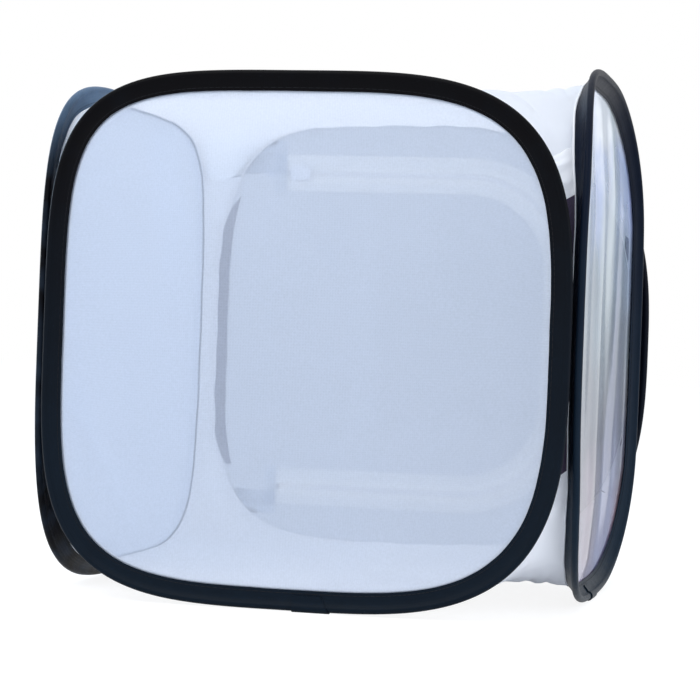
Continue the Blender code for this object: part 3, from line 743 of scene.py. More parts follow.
def thread_mesh(line: Callable[[float], Axes], steps: int, sides: int, radius: float) -> BMesh:
    """Makes a round thread.

    Args:
        line: Gives the thread's centre and two directions across it at a share from 0 to 1.
        steps: Faces along it.
        sides: Faces round it.
        radius: Half its thickness.

    Returns:
        The mesh.
    """

    def place(s: float, t: float) -> Vector:
        """Finds a point of the thread's skin.

        Args:
            s: Share of its length.
            t: Share of its girth.

        Returns:
            The point.
        """
        centre, first, second = line(s)
        angle = math.tau * t
        return centre + (first * math.cos(angle) + second * math.sin(angle)) * radius

    return grid_mesh((steps, sides), place, (1.0, math.tau * radius))


class Spot(NamedTuple):
    """A place on a loop.

    Its side is 1 ahead and -1 behind, and its share of the upper or lower quarter there runs from 0 at the
    middle of the run to 1 at the middle of the side.
    """

    side: int
    upper: bool
    share: float


@dataclass(frozen=True)
class Station:
    """A place on a wire, with the two directions that a cross-section is drawn in."""

    place: Vector
    inward: Vector
    across: Vector

    def point(self, reach: float, off: float) -> Vector:
        """Returns the point reach along the flange and off through it."""
        return self.place + self.inward * reach + self.across * off


@dataclass(frozen=True)
class BindingSizes:
    """Cross-section of the folded binding, and how its flange flutters."""

    bead: float = 0.00225
    channel: float = 0.00175
    slot_half: float = 0.0007
    flange_half: float = 0.0012
    reach: float = 0.00975
    seam_reach: float = 0.0101
    seam_off: float = -0.0017
    rim_depth: float = 0.0040
    rim_gap: float = 0.0006
    flutter: float = 0.0003
    arc_flutter: float = 0.0004
    flutter_scales: Pair = (33.0, 95.0)
    fine_flutter: float = 0.7
    reach_flutter: float = 0.02
    arc_middle: float = 0.45
    arc_width: float = 1.6
    bead_angles: tuple[float, ...] = (90.0, 152.0, 208.0, 270.0)
    sleeve_bead: float = 0.00305


@dataclass(frozen=True)
class Flare:
    """A stretch of one quarter where cloth pulls the flange further round, by shares of the quarter."""

    side: int
    upper: bool
    degrees: float
    rise: Pair
    fall: Pair

    def at(self, spot: Spot) -> float:
        """Finds the extra turn at a place.

        Args:
            spot: The place.

        Returns:
            The degrees.
        """
        if (spot.side, spot.upper) != (self.side, self.upper):
            return 0.0
        grown = smooth((spot.share - self.rise[0]) / (self.rise[1] - self.rise[0]))
        left = smooth((self.fall[1] - spot.share) / (self.fall[1] - self.fall[0]))
        return self.degrees * grown * left


@dataclass
class LoopShape:
    """One sprung loop: a rounded square whose corners may differ."""

    body: Body
    foot: Vector
    along: Vector
    outward: Vector
    behind: float
    ahead: float
    height: float
    corners: tuple[float, float, float, float]
    lean: float = 0.0
    side_tilt: float = 0.0
    arc_tilt: float = 0.0
    flares: tuple[Flare, ...] = ()
    overlap_shift: float = 0.0
    ear_tip: float = 0.47
    tilt_full: float = 0.9
    fine_steps: int = 400
    turn_weight: float = 0.09
    section: BindingSizes = field(default_factory=BindingSizes)

    def __post_init__(self) -> None:
        """Measures the loop's four quarters."""
        tilt = math.radians(self.arc_tilt)
        lowest = max(-math.cos(math.radians(a) - tilt) for a in self.section.bead_angles)
        self.drop = self.section.sleeve_bead * lowest
        self.half = (self.height - self.drop - self.section.bead) / 2
        self.tables = {(s, u): self._quarter(s, u) for s in (1, -1) for u in (True, False)}

    @property
    def name(self) -> str:
        """Name of the loop's body."""
        return self.body.value

    @property
    def tape_name(self) -> str:
        """Name of the binding's tape."""
        return f"{self.name}_binding_tape"

    def _quarter(self, side: int, upper: bool) -> tuple[list, list, float]:
        """Measures a quarter.

        Args:
            side: 1 for the side ahead and -1 for the one behind.
            upper: Whether the quarter is an upper one.

        Returns:
            Its points, the share of its length and turning at each, and its exponent.
        """
        reach = self.ahead if side > 0 else self.behind
        exponent = self.corners[(0 if upper else 1) + (0 if side > 0 else 2)]
        curve = []
        for n in range(self.fine_steps + 1):
            angle = math.pi / 2 * n / self.fine_steps
            u = reach * math.sin(angle) ** (2 / exponent)
            curve.append((u, self.half * max(0.0, math.cos(angle)) ** (2 / exponent)))
        travelled, heading = [0.0], None
        for (u0, w0), (u1, w1) in zip(curve, curve[1:]):
            direction = math.atan2(w1 - w0, u1 - u0)
            turn = 0.0 if heading is None else abs(direction - heading)
            heading = direction
            travelled.append(travelled[-1] + math.hypot(u1 - u0, w1 - w0) + self.turn_weight * turn)
        return curve, [t / travelled[-1] for t in travelled], exponent

    def station(self, spot: Spot) -> Station:
        """Finds the station at a place.

        Args:
            spot: The place.

        Returns:
            The station, whose inward direction runs along the flange.
        """
        side, upper, share = spot
        curve, shares, exponent = self.tables[(side, upper)]
        low, high = 0, len(shares) - 1
        while high - low > 1:
            middle = (low + high) // 2
            low, high = (middle, high) if shares[middle] <= share else (low, middle)
        part = (share - shares[low]) / (shares[high] - shares[low])
        u = side * mix(curve[low][0], curve[high][0], part)
        w = (1 if upper else -1) * mix(curve[low][1], curve[high][1], part)
        reach = self.ahead if side > 0 else self.behind
        normal_u = math.copysign(abs(u / reach) ** (exponent - 1) / reach, u)
        normal_w = math.copysign(abs(w / self.half) ** (exponent - 1) / self.half, w)
        inner = -(self.along * normal_u + UP * normal_w).normalized()
        rise = max(0.0, (abs(w) / self.half - self.ear_tip) / (1 - self.ear_tip))
        turned = smooth(rise * (1 - self.ear_tip) / (self.tilt_full - self.ear_tip))
        pulled = sum(flare.at(spot) for flare in self.flares)
        tilt = math.radians(mix(self.side_tilt, self.arc_tilt, turned) + pulled)
        place = self.foot + self.along * u + UP * (w + self.half + self.drop)
        place -= self.outward * (self.lean * rise * rise)
        return Station(
            place,
            inner * math.cos(tilt) - self.outward * math.sin(tilt),
            self.outward * math.cos(tilt) + inner * math.sin(tilt),
        )

    def point(self, spot: Spot, reach: float, off: float) -> Vector:
        """Finds a point of the fluttering flange.

        Args:
            spot: The place on the loop.
            reach: Distance along the flange.
            off: Distance through it.

        Returns:
            The point.
        """
        station, section = self.station(spot), self.section
        broad, fine = (noise.noise(station.place * scale) for scale in section.flutter_scales)
        swing = broad + section.fine_flutter * fine
        arc = smooth(section.arc_width - 2.0 * abs(spot.share - section.arc_middle))
        sway = swing * mix(section.flutter, section.arc_flutter, arc)
        grown = max(0.0, reach / section.reach)
        return station.point(reach * (1 + section.reach_flutter * swing), off + sway * grown * grown)

    def thread(self, turn: float, reach: float, off: float) -> Axes:
        """Finds the axes of a thread along the flange.

        Args:
            turn: Turn from 0 to 1 round the loop.
            reach: Distance along the flange.
            off: Distance through it.

        Returns:
            The thread's centre and two directions across it.
        """
        spot = self.round_trip(min(turn, LAST_TURN))
        station = self.station(spot)
        return self.point(spot, reach, off), station.inward, station.across

    def round_trip(self, turn: float) -> Spot:
        """Finds the place at a turn of the loop.

        Args:
            turn: Turn from 0 to 1, from the top's middle by the side ahead.

        Returns:
            The place.
        """
        quarter, part = divmod(turn % 1.0 * 4, 1.0)
        sides = ((1, True, part), (1, False, 1 - part), (-1, False, part), (-1, True, 1 - part))
        return Spot(*sides[int(quarter)])

    def bottom(self, u: float) -> Spot:
        """Finds a place on the bottom run.

        Args:
            u: Width from the middle of the loop's foot.

        Returns:
            The place.
        """
        side = 1 if u >= 0 else -1
        curve, shares, _ = self.tables[(side, False)]
        index = next(n for n, (v, _) in enumerate(curve) if v >= abs(u) and n > 0)
        part = (abs(u) - curve[index - 1][0]) / (curve[index][0] - curve[index - 1][0])
        return Spot(side, False, mix(shares[index - 1], shares[index], part))

    def tip(self, side: int, upper: bool) -> float:
        """Returns the share where an ear ends."""
        curve, shares, _ = self.tables[(side, upper)]
        return next(s for (_, w), s in zip(curve, shares) if w <= self.ear_tip * self.half)

    def seam(self, side: int, upper: bool, share: float) -> Vector:
        """Returns the point where cloth is sewn on inside."""
        return self.point(Spot(side, upper, share), self.section.seam_reach, self.section.seam_off)


@dataclass(frozen=True)
class Corner:
    """Two neighbouring loops and the side of each that meets there."""

    name: str
    first: LoopShape
    first_side: int
    second: LoopShape
    second_side: int
    jointed: bool
    lined: bool = False
    carry_share: float = 0.97

    def joins(self, loop: LoopShape, side: int) -> bool:
        """Tells whether a loop's side meets the other loop here."""
        return (loop.body, side) in ((self.first.body, self.first_side), (self.second.body, self.second_side))

    def rung(self, upper: bool, share: float, across: float) -> Vector:
        """Returns the point across the rung between both loops' seams at a share of their quarters."""
        start = self.first.seam(self.first_side, upper, share)
        return start.lerp(self.second.seam(self.second_side, upper, share), across)

    def tip(self, upper: bool) -> float:
        """Returns the share where the ear between the two loops ends."""
        return (self.first.tip(self.first_side, upper) + self.second.tip(self.second_side, upper)) / 2

    def away(self) -> Vector:
        """Returns the direction out of the corner, not of unit length."""
        return self.first.outward + self.second.outward

    def carry(self, piece: Piece) -> None:
        """Bends a piece between the two loops' bodies.

        Args:
            piece: The piece.
        """
        start = self.first.seam(self.first_side, True, self.carry_share)
        end = self.second.seam(self.second_side, True, self.carry_share)
        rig.blend(piece, self.first.name, self.second.name, start, end)

    def strips(
        self, name: str, finish: str, palette: Palette, faces: Faces, place: Place, size: Pair
    ) -> list[Piece]:
        """Makes cloth across the corner, in two halves where no joint joins the loops.

        Args:
            name: Name of the cloth.
            finish: Name of its finish.
            palette: The finishes.
            faces: Count of faces across the corner and along it.
            place: Gives the point of each pair of shares across and along.
            size: Cloth length across and along, for the UV.

        Returns:
            The cloth, whole or as the first loop's half and the second's.
        """
        if self.jointed:
            piece = palette.dress(link(name, grid_mesh(faces, place, size)), finish)
            self.carry(piece)
            return [piece]
        made = []
        for number, loop in enumerate((self.first, self.second)):
            low = number / 2
            bm = grid_mesh(faces, lambda s, t, start=low: place(mix(start, start + 0.5, s), t), size)
            made.append(palette.dress(link(f"{name}_{number + 1}", bm), finish, loop.body))
        return made


@dataclass(frozen=True)
class Layout:
    """Where the loops and the zip stand, as in the solid model."""

    width_pitch: float = 0.306
    depth_pitch: float = 0.300
    back_shift: float = 0.008
    plane_offset: float = 0.00345
    side_offset: float = 0.00255
    back_bulge: float = 0.007
    right_shortfall: float = 0.011
    right_lean: float = 0.008
    side_tilt: float = 30.0
    arc_tilt: float = 36.0
    front_overlap_shift: float = 0.011
    left_flare: Flare = Flare(-1, True, -38.0, (0.10, 0.40), (0.66, 0.86))
    right_flare: Flare = Flare(-1, True, 18.0, (0.30, 0.52), (0.62, 0.84))
    origin: Vector = field(default_factory=Vector)

    @classmethod
    def from_frame(cls, joints: Sequence[dict]) -> Layout:
        """Puts the front left corner on the fold joint's axis.

        Args:
            joints: The frame's joints.

        Returns:
            The layout.
        """
        fold = next(j for j in joints if j["name"] == "fold")["pos_m"]
        corner = cls().corner_axis(-1, -1)
        return cls(origin=Vector((fold[0] - corner.x, fold[1] - corner.y, 0.0)))

    def corner_axis(self, side: int, end: int) -> Vector:
        """Returns the foot of a corner's axis."""
        shift = end * self.back_shift / 2
        return self.origin + Vector((side * self.width_pitch / 2 + shift, end * self.depth_pitch / 2, 0.0))

    def back_point(self, x: float, z: float, off: float = 0.0) -> Vector:
        """Returns a point of the back panel, off towards the outside."""
        return self.origin + Vector((x, self.depth_pitch / 2 + self.plane_offset + off, z))

    def loops(self) -> dict[Body, LoopShape]:
        """Shapes the four loops.

        Returns:
            The loops by body.
        """
        front_left, front_right = self.corner_axis(-1, -1), self.corner_axis(1, -1)
        back_left, back_right = self.corner_axis(-1, 1), self.corner_axis(1, 1)
        tilts = {"side_tilt": self.side_tilt, "arc_tilt": self.arc_tilt}
        left = {"flares": (self.left_flare,), **tilts}
        right = {"flares": (self.right_flare,), "lean": self.right_lean, **tilts}
        rows = (
            (
                Body.FRONT, front_left, front_right, -1, -self.side_offset, 0.305,
                (3.5, 3.4, 4.3, 3.8), {"overlap_shift": self.front_overlap_shift},
            ),
            (Body.LEFT, front_left, back_left, 1, -self.side_offset, 0.306, (4.1, 3.9, 4.1, 3.5), left),
            (Body.BACK, back_left, back_right, 1, self.back_bulge, 0.319, (2.7, 3.1, 3.8, 4.0), {}),
            (
                Body.RIGHT, front_right, back_right, -1, -self.right_shortfall, 0.322,
                (2.8, 3.4, 3.2, 2.8), right,
            ),
        )
        made = {}
        for body, start, end, turn, past, height, corners, more in rows:
            along = (end - start).normalized()
            outward = Vector((-along.y, along.x, 0.0)) * turn
            half = (end - start).length / 2
            foot = (start + end) / 2 + outward * self.plane_offset
            behind, ahead = half - self.side_offset, half + past
            made[body] = LoopShape(body, foot, along, outward, behind, ahead, height, corners, **more)
        return made

    def corners(self, loops: dict[Body, LoopShape]) -> list[Corner]:
        """Pairs the loops at the four corners.

        Args:
            loops: The loops by body.

        Returns:
            The corners.
        """
        front, left, back, right = (loops[b] for b in (Body.FRONT, Body.LEFT, Body.BACK, Body.RIGHT))
        return [
            Corner("front_right", front, 1, right, -1, True),
            Corner("front_left", front, -1, left, -1, True),
            Corner("back_left", back, -1, left, 1, True, True),
            Corner("back_right", back, 1, right, 1, False),
        ]


@dataclass(frozen=True)
class Binding:
    """Folded tape sewn over a loop's wire, with its overlap and its stitching."""

    loop: LoopShape
    palette: Palette
    turns: int = 264
    bead_steps: int = 12
    tape_width: float = 0.027
    tape_length: float = 1.13
    pinch_share: float = 0.62
    pinch: float = 1.02
    lip: float = 0.0001
    overlap: float = 0.020
    overlap_steps: int = 14
    overlap_slant: float = 0.0035
    overlap_reach: float = 0.0068
    overlap_gap: float = 0.0003
    overlap_thickness: float = 0.0005
    stitch: float = 0.0030
    stitched_length: float = 1.1
    stitch_steps: int = 4
    stitch_wave: float = 0.00012
    stitch_radius: float = 0.00016
    stitch_reach: float = 0.0079
    hem_radius: float = 0.0005
    hem_sides: int = 6

    def outline(self, bead: float, leg: float, reach: float) -> Outline:
        """Draws a folded tape's outline.

        Args:
            bead: Radius round the wire.
            leg: Half the distance between the leaves.
            reach: Length of the leaves.

        Returns:
            Its points from one flange end round the bead to the other.
        """
        start = math.degrees(math.asin(leg / bead))
        angles = [mix(start, 360 - start, n / self.bead_steps) for n in range(self.bead_steps + 1)]
        bend = [(bead * math.cos(math.radians(a)), bead * math.sin(math.radians(a))) for a in angles]
        pinched, spread = reach * self.pinch_share, leg * self.pinch
        return [(reach, leg), (pinched, spread), *bend, (pinched, -spread), (reach, -leg)]

    def wrap(
        self,
        name: str,
        node: str,
        section: Outline,
        steps: int,
        length: float,
        at: Callable[[float, float], Spot],
    ) -> Piece:
        """Draws a closed section along the loop.

        Args:
            name: What the piece is called after the loop's name.
            node: What the solid that it stands for is called after the loop's name.
            section: The section's points.
            steps: Faces along the piece.
            length: Its length, for the UV.
            at: Gives the place for a share of the length and a reach.

        Returns:
            The piece.
        """
        loop, count = self.loop, len(section)

        def place(s: float, t: float) -> Vector:
            """Returns the point at shares of the length and of the way round the section."""
            reach, off = section[round(t * count) % count]
            return loop.point(at(s, reach), reach, off)

        bm = grid_mesh((steps, count), place, (length, 2 * self.tape_width))
        bmesh.ops.holes_fill(bm, edges=bm.edges, sides=0)
        bmesh.ops.recalc_face_normals(bm, faces=bm.faces)
        piece = link(f"{loop.name}_{name}", bm)
        piece.data.set_sharp_from_angle(angle=SHARP)
        return self.palette.dress(piece, f"binding_{loop.name}", loop.body, f"{loop.name}_{node}")

    def tape(self) -> Piece:
        """Makes the tape round the loop.

        Returns:
            The tape.
        """
        sizes, trip = self.loop.section, self.loop.round_trip
        outer = self.outline(sizes.bead, sizes.flange_half, sizes.reach)
        section = outer + self.outline(sizes.channel, sizes.slot_half, sizes.reach - self.lip)[::-1]
        return self.wrap(
            "binding_tape", "binding", section, self.turns, self.tape_length, lambda s, _: trip(s)
        )

    def overlapped(self, s: float, reach: float) -> Spot:
        """Returns the place at a share of the overlap, whose one end is slanted."""
        slant = self.overlap_slant * (reach / self.overlap_reach) * smooth(s)
        return self.loop.bottom(self.loop.overlap_shift + (s - 0.5) * self.overlap - slant)

    def sleeve(self) -> Piece:
        """Makes the short sleeve where the tape's ends lie over each other, cut at a slant.

        Returns:
            The sleeve.
        """
        sizes, gap, thick = self.loop.section, self.overlap_gap, self.overlap_thickness
        leg, bead = sizes.flange_half + gap, sizes.bead + gap
        outer = self.outline(bead + thick, leg + thick, self.overlap_reach)
        section = outer + self.outline(bead, leg, self.overlap_reach)[::-1]
        return self.wrap(
            "binding_sleeve", "tape_overlap", section, self.overlap_steps, self.overlap, self.overlapped
        )

    def stitches(self) -> Piece:
        """Makes the running stitch that dips in and out of both leaves of the flange.

        Returns:
            The stitching.
        """
        count = round(self.stitched_length / self.stitch)
        leg = self.loop.section.flange_half

        def line(s: float, face: int) -> Axes:
            """Returns the thread's axes at a share of its length, on one face of the flange."""
            wave = math.sin(math.tau * s * count)
            return self.loop.thread(s, self.stitch_reach, face * (leg + self.stitch_wave * wave))

        bm = bmesh.new()
        for face in (1, -1):
            part = thread_mesh(
                lambda s, f=face: line(s, f), count * self.stitch_steps, self.stitch_steps, self.stitch_radius
            )
            mesh = bpy.data.meshes.new("part")
            part.to_mesh(mesh)
            part.free()
            bm.from_mesh(mesh)
            bpy.data.meshes.remove(mesh)
        return self.palette.dress(link(f"{self.loop.name}_binding_stitches", bm), "thread", self.loop.body)

    def hem(self) -> None:
        """Makes the narrow rolled hem of top, floor and ears along the flange."""
        loop, sizes = self.loop, self.loop.section
        bm = thread_mesh(
            lambda s: loop.thread(s, sizes.seam_reach, sizes.seam_off),
            self.turns, self.hem_sides, self.hem_radius,
        )
        self.palette.dress(link(f"{loop.name}_hem", bm), "fabric", loop.body)

    def build(self) -> None:
        """Makes all pieces."""
        tape = self.tape()
        self.hem()
        with_pieces = [self.sleeve(), self.stitches()]
        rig.sheet(
            tape, flat=(self.tape_width, self.tape_length), held="folded",
            rests_on=[f"{self.loop.name}_wire"], with_pieces=with_pieces,
        )
        LOG.info("binding of the %s loop", self.loop.name)


@dataclass(frozen=True)
class Crease:
    """A soft fold across a panel, in widths and heights from the middle of its foot."""

    start: Pair
    end: Pair
    width: float
    height: float
    fade: Pair = (0.25, 0.35)

    def lift(self, u: float, w: float) -> float:
        """Finds how far the fold stands out of the panel.

        Args:
            u: Width from the middle of the foot.
            w: Height.

        Returns:
            The distance.
        """
        run = (self.end[0] - self.start[0], self.end[1] - self.start[1])
        length = math.hypot(*run)
        along = ((u - self.start[0]) * run[0] + (w - self.start[1]) * run[1]) / length
        beside = ((u - self.start[0]) * run[1] - (w - self.start[1]) * run[0]) / length
        fade = smooth(along / (self.fade[0] * length)) * smooth((length - along) / (self.fade[1] * length))
        return self.height * fade * math.exp(-((beside / self.width) ** 2))


def cloth_area(piece: Piece) -> float:
    """Returns a piece's surface."""
    return sum(polygon.area for polygon in piece.data.polygons)


def declare_cut(piece: Piece, width: float, length: float, rests_on: list[str]) -> None:
    """Declares a stretched sheet whose cut is smaller than its width by its length.

    Args:
        piece: The sheet.
        width: Width of the cut's bounding rectangle.
        length: Its length.
        rests_on: Names of the pieces that hold it.
    """
    surface = cloth_area(piece)
    if surface < LEAST_FILL * width * length:
        length = surface / (TYPICAL_FILL * width)
    area = min(width * length, surface)
    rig.sheet(piece, flat=(width, length), held="stretched", area=area, rests_on=rests_on)


@dataclass
class Panel:
    """Sheet held in a loop's flange."""

    name: str
    loop: LoopShape
    steps: int = 96
    creases: Sequence[Crease] = ()
    ripple: float = 0.0007
    ripple_scale: Pair = (16.0, 16.0)
    ripple_shift: float = 20
    rim_fade: float = 0.12
    cache: dict = field(default_factory=dict)

    def edge(self, a: float, b: float, reach: float) -> Vector:
        """Finds the point of the loop's flange that belongs to a point of the square's edge.

        Args:
            a: Place across the square from -1 to 1.
            b: Place up it from -1 to 1.
            reach: Distance along the flange.

        Returns:
            The point.
        """
        key = (a, b, reach)
        if key not in self.cache:
            share = abs(a) / 2 if abs(b) >= abs(a) else 1 - abs(b) / 2
            self.cache[key] = self.loop.point(Spot(1 if a >= 0 else -1, b >= 0, share), reach, 0.0)
        return self.cache[key]

    def place(self, s: float, t: float) -> Vector:
        """Finds a point of the sheet, which is filled in between the four stretches of its edge.

        Args:
            s: Share of its width.
            t: Share of its height.

        Returns:
            The point.
        """
        section, edge = self.loop.section, self.edge
        a, b = 2 * s - 1, 2 * t - 1
        if max(abs(a), abs(b)) > 1 - 1e-5:
            a, b = (round(a), b) if abs(a) > abs(b) else (a, round(b))
            return edge(a, b, section.reach - section.rim_depth)
        grown = self.steps / (self.steps - 2)
        a, b = (round(max(-1.0, min(1.0, v * grown)), 6) for v in (a, b))
        reach = section.reach + section.rim_gap
        s, t = (a + 1) / 2, (b + 1) / 2
        upright = edge(a, -1.0, reach).lerp(edge(a, 1.0, reach), t)
        level = edge(-1.0, b, reach).lerp(edge(1.0, b, reach), s)
        low, high = (edge(-1.0, end, reach).lerp(edge(1.0, end, reach), s) for end in (-1.0, 1.0))
        flat = upright + level - low.lerp(high, t)
        return flat + self.loop.outward * self.relief(flat, a, b)

    def relief(self, at: Vector, a: float, b: float) -> float:
        """Finds how far the cloth stands out of its flat place.

        Args:
            at: The flat place.
            a: The same across the square from -1 to 1.
            b: The same up it from -1 to 1.

        Returns:
            The distance.
        """
        fade = smooth((1 - max(abs(a), abs(b))) / self.rim_fade)
        u, w = (at - self.loop.foot).dot(self.loop.along), at.z
        folds = sum(crease.lift(u, w) for crease in self.creases)
        across, upright = self.ripple_scale
        ripple = noise.noise(Vector((u * across, w * upright, self.loop.foot.x * self.ripple_shift)))
        return fade * (folds + ripple * self.ripple)

    def mesh(self) -> BMesh:
        """Returns the sheet's mesh."""
        size = (self.loop.behind + self.loop.ahead, 2 * self.loop.half)
        return grid_mesh((self.steps, self.steps), self.place, size)

    def build(self, palette: Palette, finish: str, node: str, bm: BMesh | None = None) -> None:
        """Makes the sheet, which rides on its loop's body, cut to the loop less the seams.

        Args:
            palette: The finishes.
            finish: The name of its finish.
            node: The solid that it stands for.
            bm: Its mesh, where that is changed from the panel's own.
        """
        bm = self.mesh() if bm is None else bm
        piece = palette.dress(link(self.name, bm), finish, self.loop.body, node)
        width = self.loop.behind + self.loop.ahead - SEAM_ALLOWANCE
        declare_cut(piece, width, 2 * self.loop.half - SEAM_ALLOWANCE, [self.loop.tape_name])
        LOG.info("%s", self.name)


@dataclass(frozen=True)
class ZipLine:
    """The zip's centre line in the back panel: along the top, down the right side and back."""

    layout: Layout
    left: float = -0.092
    right: float = 0.106
    top: float = 0.271
    bottom: float = 0.050
    radius: float = 0.066
    hinge: float = -0.074
    hinge_width: float = 0.010
    hinge_lead: float = 0.1
    hinge_height: float = 0.15

    @property
    def run(self) -> float:
        """Length of a straight run."""
        return self.right - self.radius - self.left

    @property
    def arc(self) -> float:
        """Length of a bend."""
        return math.pi / 2 * self.radius

    @property
    def length(self) -> float:
        """Whole length."""
        return 2 * (self.run + self.arc) + self.top - self.bottom - 2 * self.radius

    def flat(self, s: float) -> Triple:
        """Finds a place of the line.

        Args:
            s: Length from the upper end.

        Returns:
            Its x and z, and the heading away from the door there.
        """
        if s > self.length / 2:
            x, z, angle = self.flat(self.length - s)
            return x, self.top + self.bottom - z, -angle
        if s <= self.run:
            return self.left + s, self.top, math.pi / 2
        if s <= self.run + self.arc:
            angle = math.pi / 2 - (s - self.run) / self.radius
            x, z = self.right - self.radius, self.top + self.radius * (math.sin(angle) - 1)
            return x + self.radius * math.cos(angle), z, angle
        return self.right, self.top - self.radius - (s - self.run - self.arc), 0.0

    def point(self, s: float, beside: float, off: float) -> Vector:
        """Returns the point beside the line, away from the door, and off towards the outside."""
        x, z, angle = self.flat(s)
        return self.layout.back_point(x + beside * math.cos(angle), z + beside * math.sin(angle), off)

    def bend(self, piece: Piece) -> None:
        """Lets a piece bend at the door's hinge line.

        Args:
            piece: The piece.
        """
        hinge = self.layout.back_point(self.hinge, self.hinge_height)
        step = Vector((self.hinge_width, 0.0, 0.0))
        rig.blend(piece, Body.BACK.value, Body.DOOR.value, hinge - step * self.hinge_lead, hinge + step)


@dataclass
class BackPanel:
    """Back mesh with the door's opening, and the door's mesh."""

    loop: LoopShape
    line: ZipLine
    palette: Palette
    setback: float = 0.006
    slack: float = 0.0013
    steps: int = 132
    margin: float = 0.022
    heights: Pair = (0.03, 0.02)
    flat_within: float = 0.026
    flat_fade: float = 0.008
    door_faces: Faces = (72, 72)
    door_split: float = 0.6
    door_fade: float = 0.1
    door_cut: float = 0.999
    ripple: float = 0.0008
    ripple_scale: float = 14.0
    relief_start: float = 0.016
    relief_fade: float = 0.02
    creases: Sequence[Crease] = (
        Crease((-0.122, 0.090), (-0.082, 0.012), 0.0035, 0.0030),
        Crease((-0.020, 0.055), (-0.028, 0.262), 0.0100, 0.0028),
    )

    def nearest(self, x: float, z: float) -> tuple[float, float, float, float]:
        """Finds the zip line's point nearest to a place.

        Args:
            x: Width of the place.
            z: Its height.

        Returns:
            The point's x and z, and those of the direction away from the door there.
        """
        line = self.line
        level, half = (line.top + line.bottom) / 2, (line.top - line.bottom) / 2
        sign = 1.0 if z >= level else -1.0
        rise, middle = abs(z - level), line.right - line.radius
        if x <= middle:
            return max(x, line.left), level + sign * half, 0.0, sign
        if rise <= half - line.radius:
            return line.right, z, 1.0, 0.0
        dx, dz = x - middle, rise - half + line.radius
        far = max(1e-9, math.hypot(dx, dz))
        dx, dz = dx / far, dz / far
        near_z = level + sign * (half - line.radius + dz * line.radius)
        return middle + dx * line.radius, near_z, dx, sign * dz

    def distance(self, x: float, z: float) -> float:
        """Returns how far a place is from the zip's line."""
        near_x, near_z, _, _ = self.nearest(x, z)
        return math.hypot(x - near_x, z - near_z)

    def trimmed(self, x: float, z: float) -> Pair:
        """Finds where a point of the opening's rough edge belongs.

        Args:
            x: Width of the point.
            z: Its height.

        Returns:
            Its proper width and height.
        """
        line, edge, slack = self.line, self.setback, self.slack
        if x > line.hinge + slack:
            near_x, near_z, away_x, away_z = self.nearest(x, z)
            return near_x + away_x * edge, near_z + away_z * edge
        if line.bottom + edge + slack < z < line.top - edge - slack:
            return line.hinge, z
        if x < line.left + slack:
            return line.left, z
        levels = [end + side * edge for end in (line.top, line.bottom) for side in (1, -1)]
        return x, min(levels, key=lambda level: abs(level - z))

    def relief(self, at: Vector) -> float:
        """Finds the height of the folds that back and door share, none of them at the zip.

        Args:
            at: The place.

        Returns:
            The height.
        """
        x, z = at.x - self.line.layout.origin.x, at.z
        folds = sum(crease.lift(x, z) for crease in self.creases)
        ripple = noise.noise(Vector((x, z, 3.0)) * self.ripple_scale) * self.ripple
        return (folds + ripple) * smooth((self.distance(x, z) - self.relief_start) / self.relief_fade)

    def opened(self, at: Vector) -> bool:
        """Tells whether a point of the back lies in the opening for the door or for a zip end.

        Args:
            at: The point.

        Returns:
            Whether it does.
        """
        line, edge = self.line, self.setback
        x, z = at.x - line.layout.origin.x, at.z
        if x > line.right + edge or not line.bottom - edge < z < line.top + edge:
            return False
        if x < line.hinge:
            return x > line.left and min(abs(z - line.top), abs(z - line.bottom)) < edge
        middle = line.right - line.radius
        outside = max(abs(z - (line.top + line.bottom) / 2) - (line.top - line.bottom) / 2 + line.radius, 0.0)
        return x <= middle or math.hypot(x - middle, outside) < line.radius + edge

    def back(self) -> None:
        """Makes the back mesh."""
        panel = Panel("back_mesh_sheet", self.loop, self.steps, ripple=0.0)
        bm = panel.mesh()
        layout = self.line.layout
        gone = [face for face in bm.faces if self.opened(face.calc_center_median())]
        bmesh.ops.delete(bm, geom=gone, context="FACES")
        for vert in bm.verts:
            x, z = vert.co.x - layout.origin.x, vert.co.z
            inner = self.heights[0] < z < 2 * self.loop.half - self.heights[1]
            if abs(x) >= self.loop.behind - self.margin or not inner:
                continue
            if vert.is_boundary:
                x, z = self.trimmed(x, z)
                vert.co.x, vert.co.z = layout.origin.x + x, z
            flat = smooth((self.flat_within - self.distance(x, z)) / self.flat_fade)
            vert.co.y = mix(vert.co.y + self.relief(vert.co), layout.back_point(x, z).y, flat)
        panel.build(self.palette, "back_mesh", "back_mesh", bm)

    def door(self) -> None:
        """Makes the door's mesh, which bends at its hinge line."""
        line, split = self.line, self.door_split
        end = line.right - self.setback
        middle, radius = line.right - line.radius, line.radius - self.setback
        low, high = line.bottom + self.setback, line.top - self.setback

        def place(s: float, t: float) -> Vector:
            """Finds a point of the door, whose far corners are round.

            Args:
                s: Share of its width from the hinge.
                t: Share of its height.

            Returns:
                The point.
            """
            turn = math.pi / 2 * max(0.0, (s - split) / (1 - split))
            x = mix(line.hinge, middle, s / split) if s < split else middle + radius * math.sin(turn)
            cut = radius * (1 - math.cos(turn)) if s > split else 0.0
            at = line.layout.back_point(min(x, end), mix(low + cut, high - cut, t))
            at.y += self.relief(at) * smooth(s / self.door_fade)
            return at

        size = (end - line.hinge, high - low)
        bm = grid_mesh(self.door_faces, place, size)
        piece = self.palette.dress(link("door_mesh_sheet", bm), "back_mesh")
        line.bend(piece)
        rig.replaces(piece, "door_mesh")
        area = cloth_area(piece) * self.door_cut
        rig.sheet(piece, flat=size, held="stretched", area=area, rests_on=["back_mesh_sheet"])
        LOG.info("door_mesh_sheet")

    def build(self) -> None:
        """Makes both meshes."""
        self.back()
        self.door()


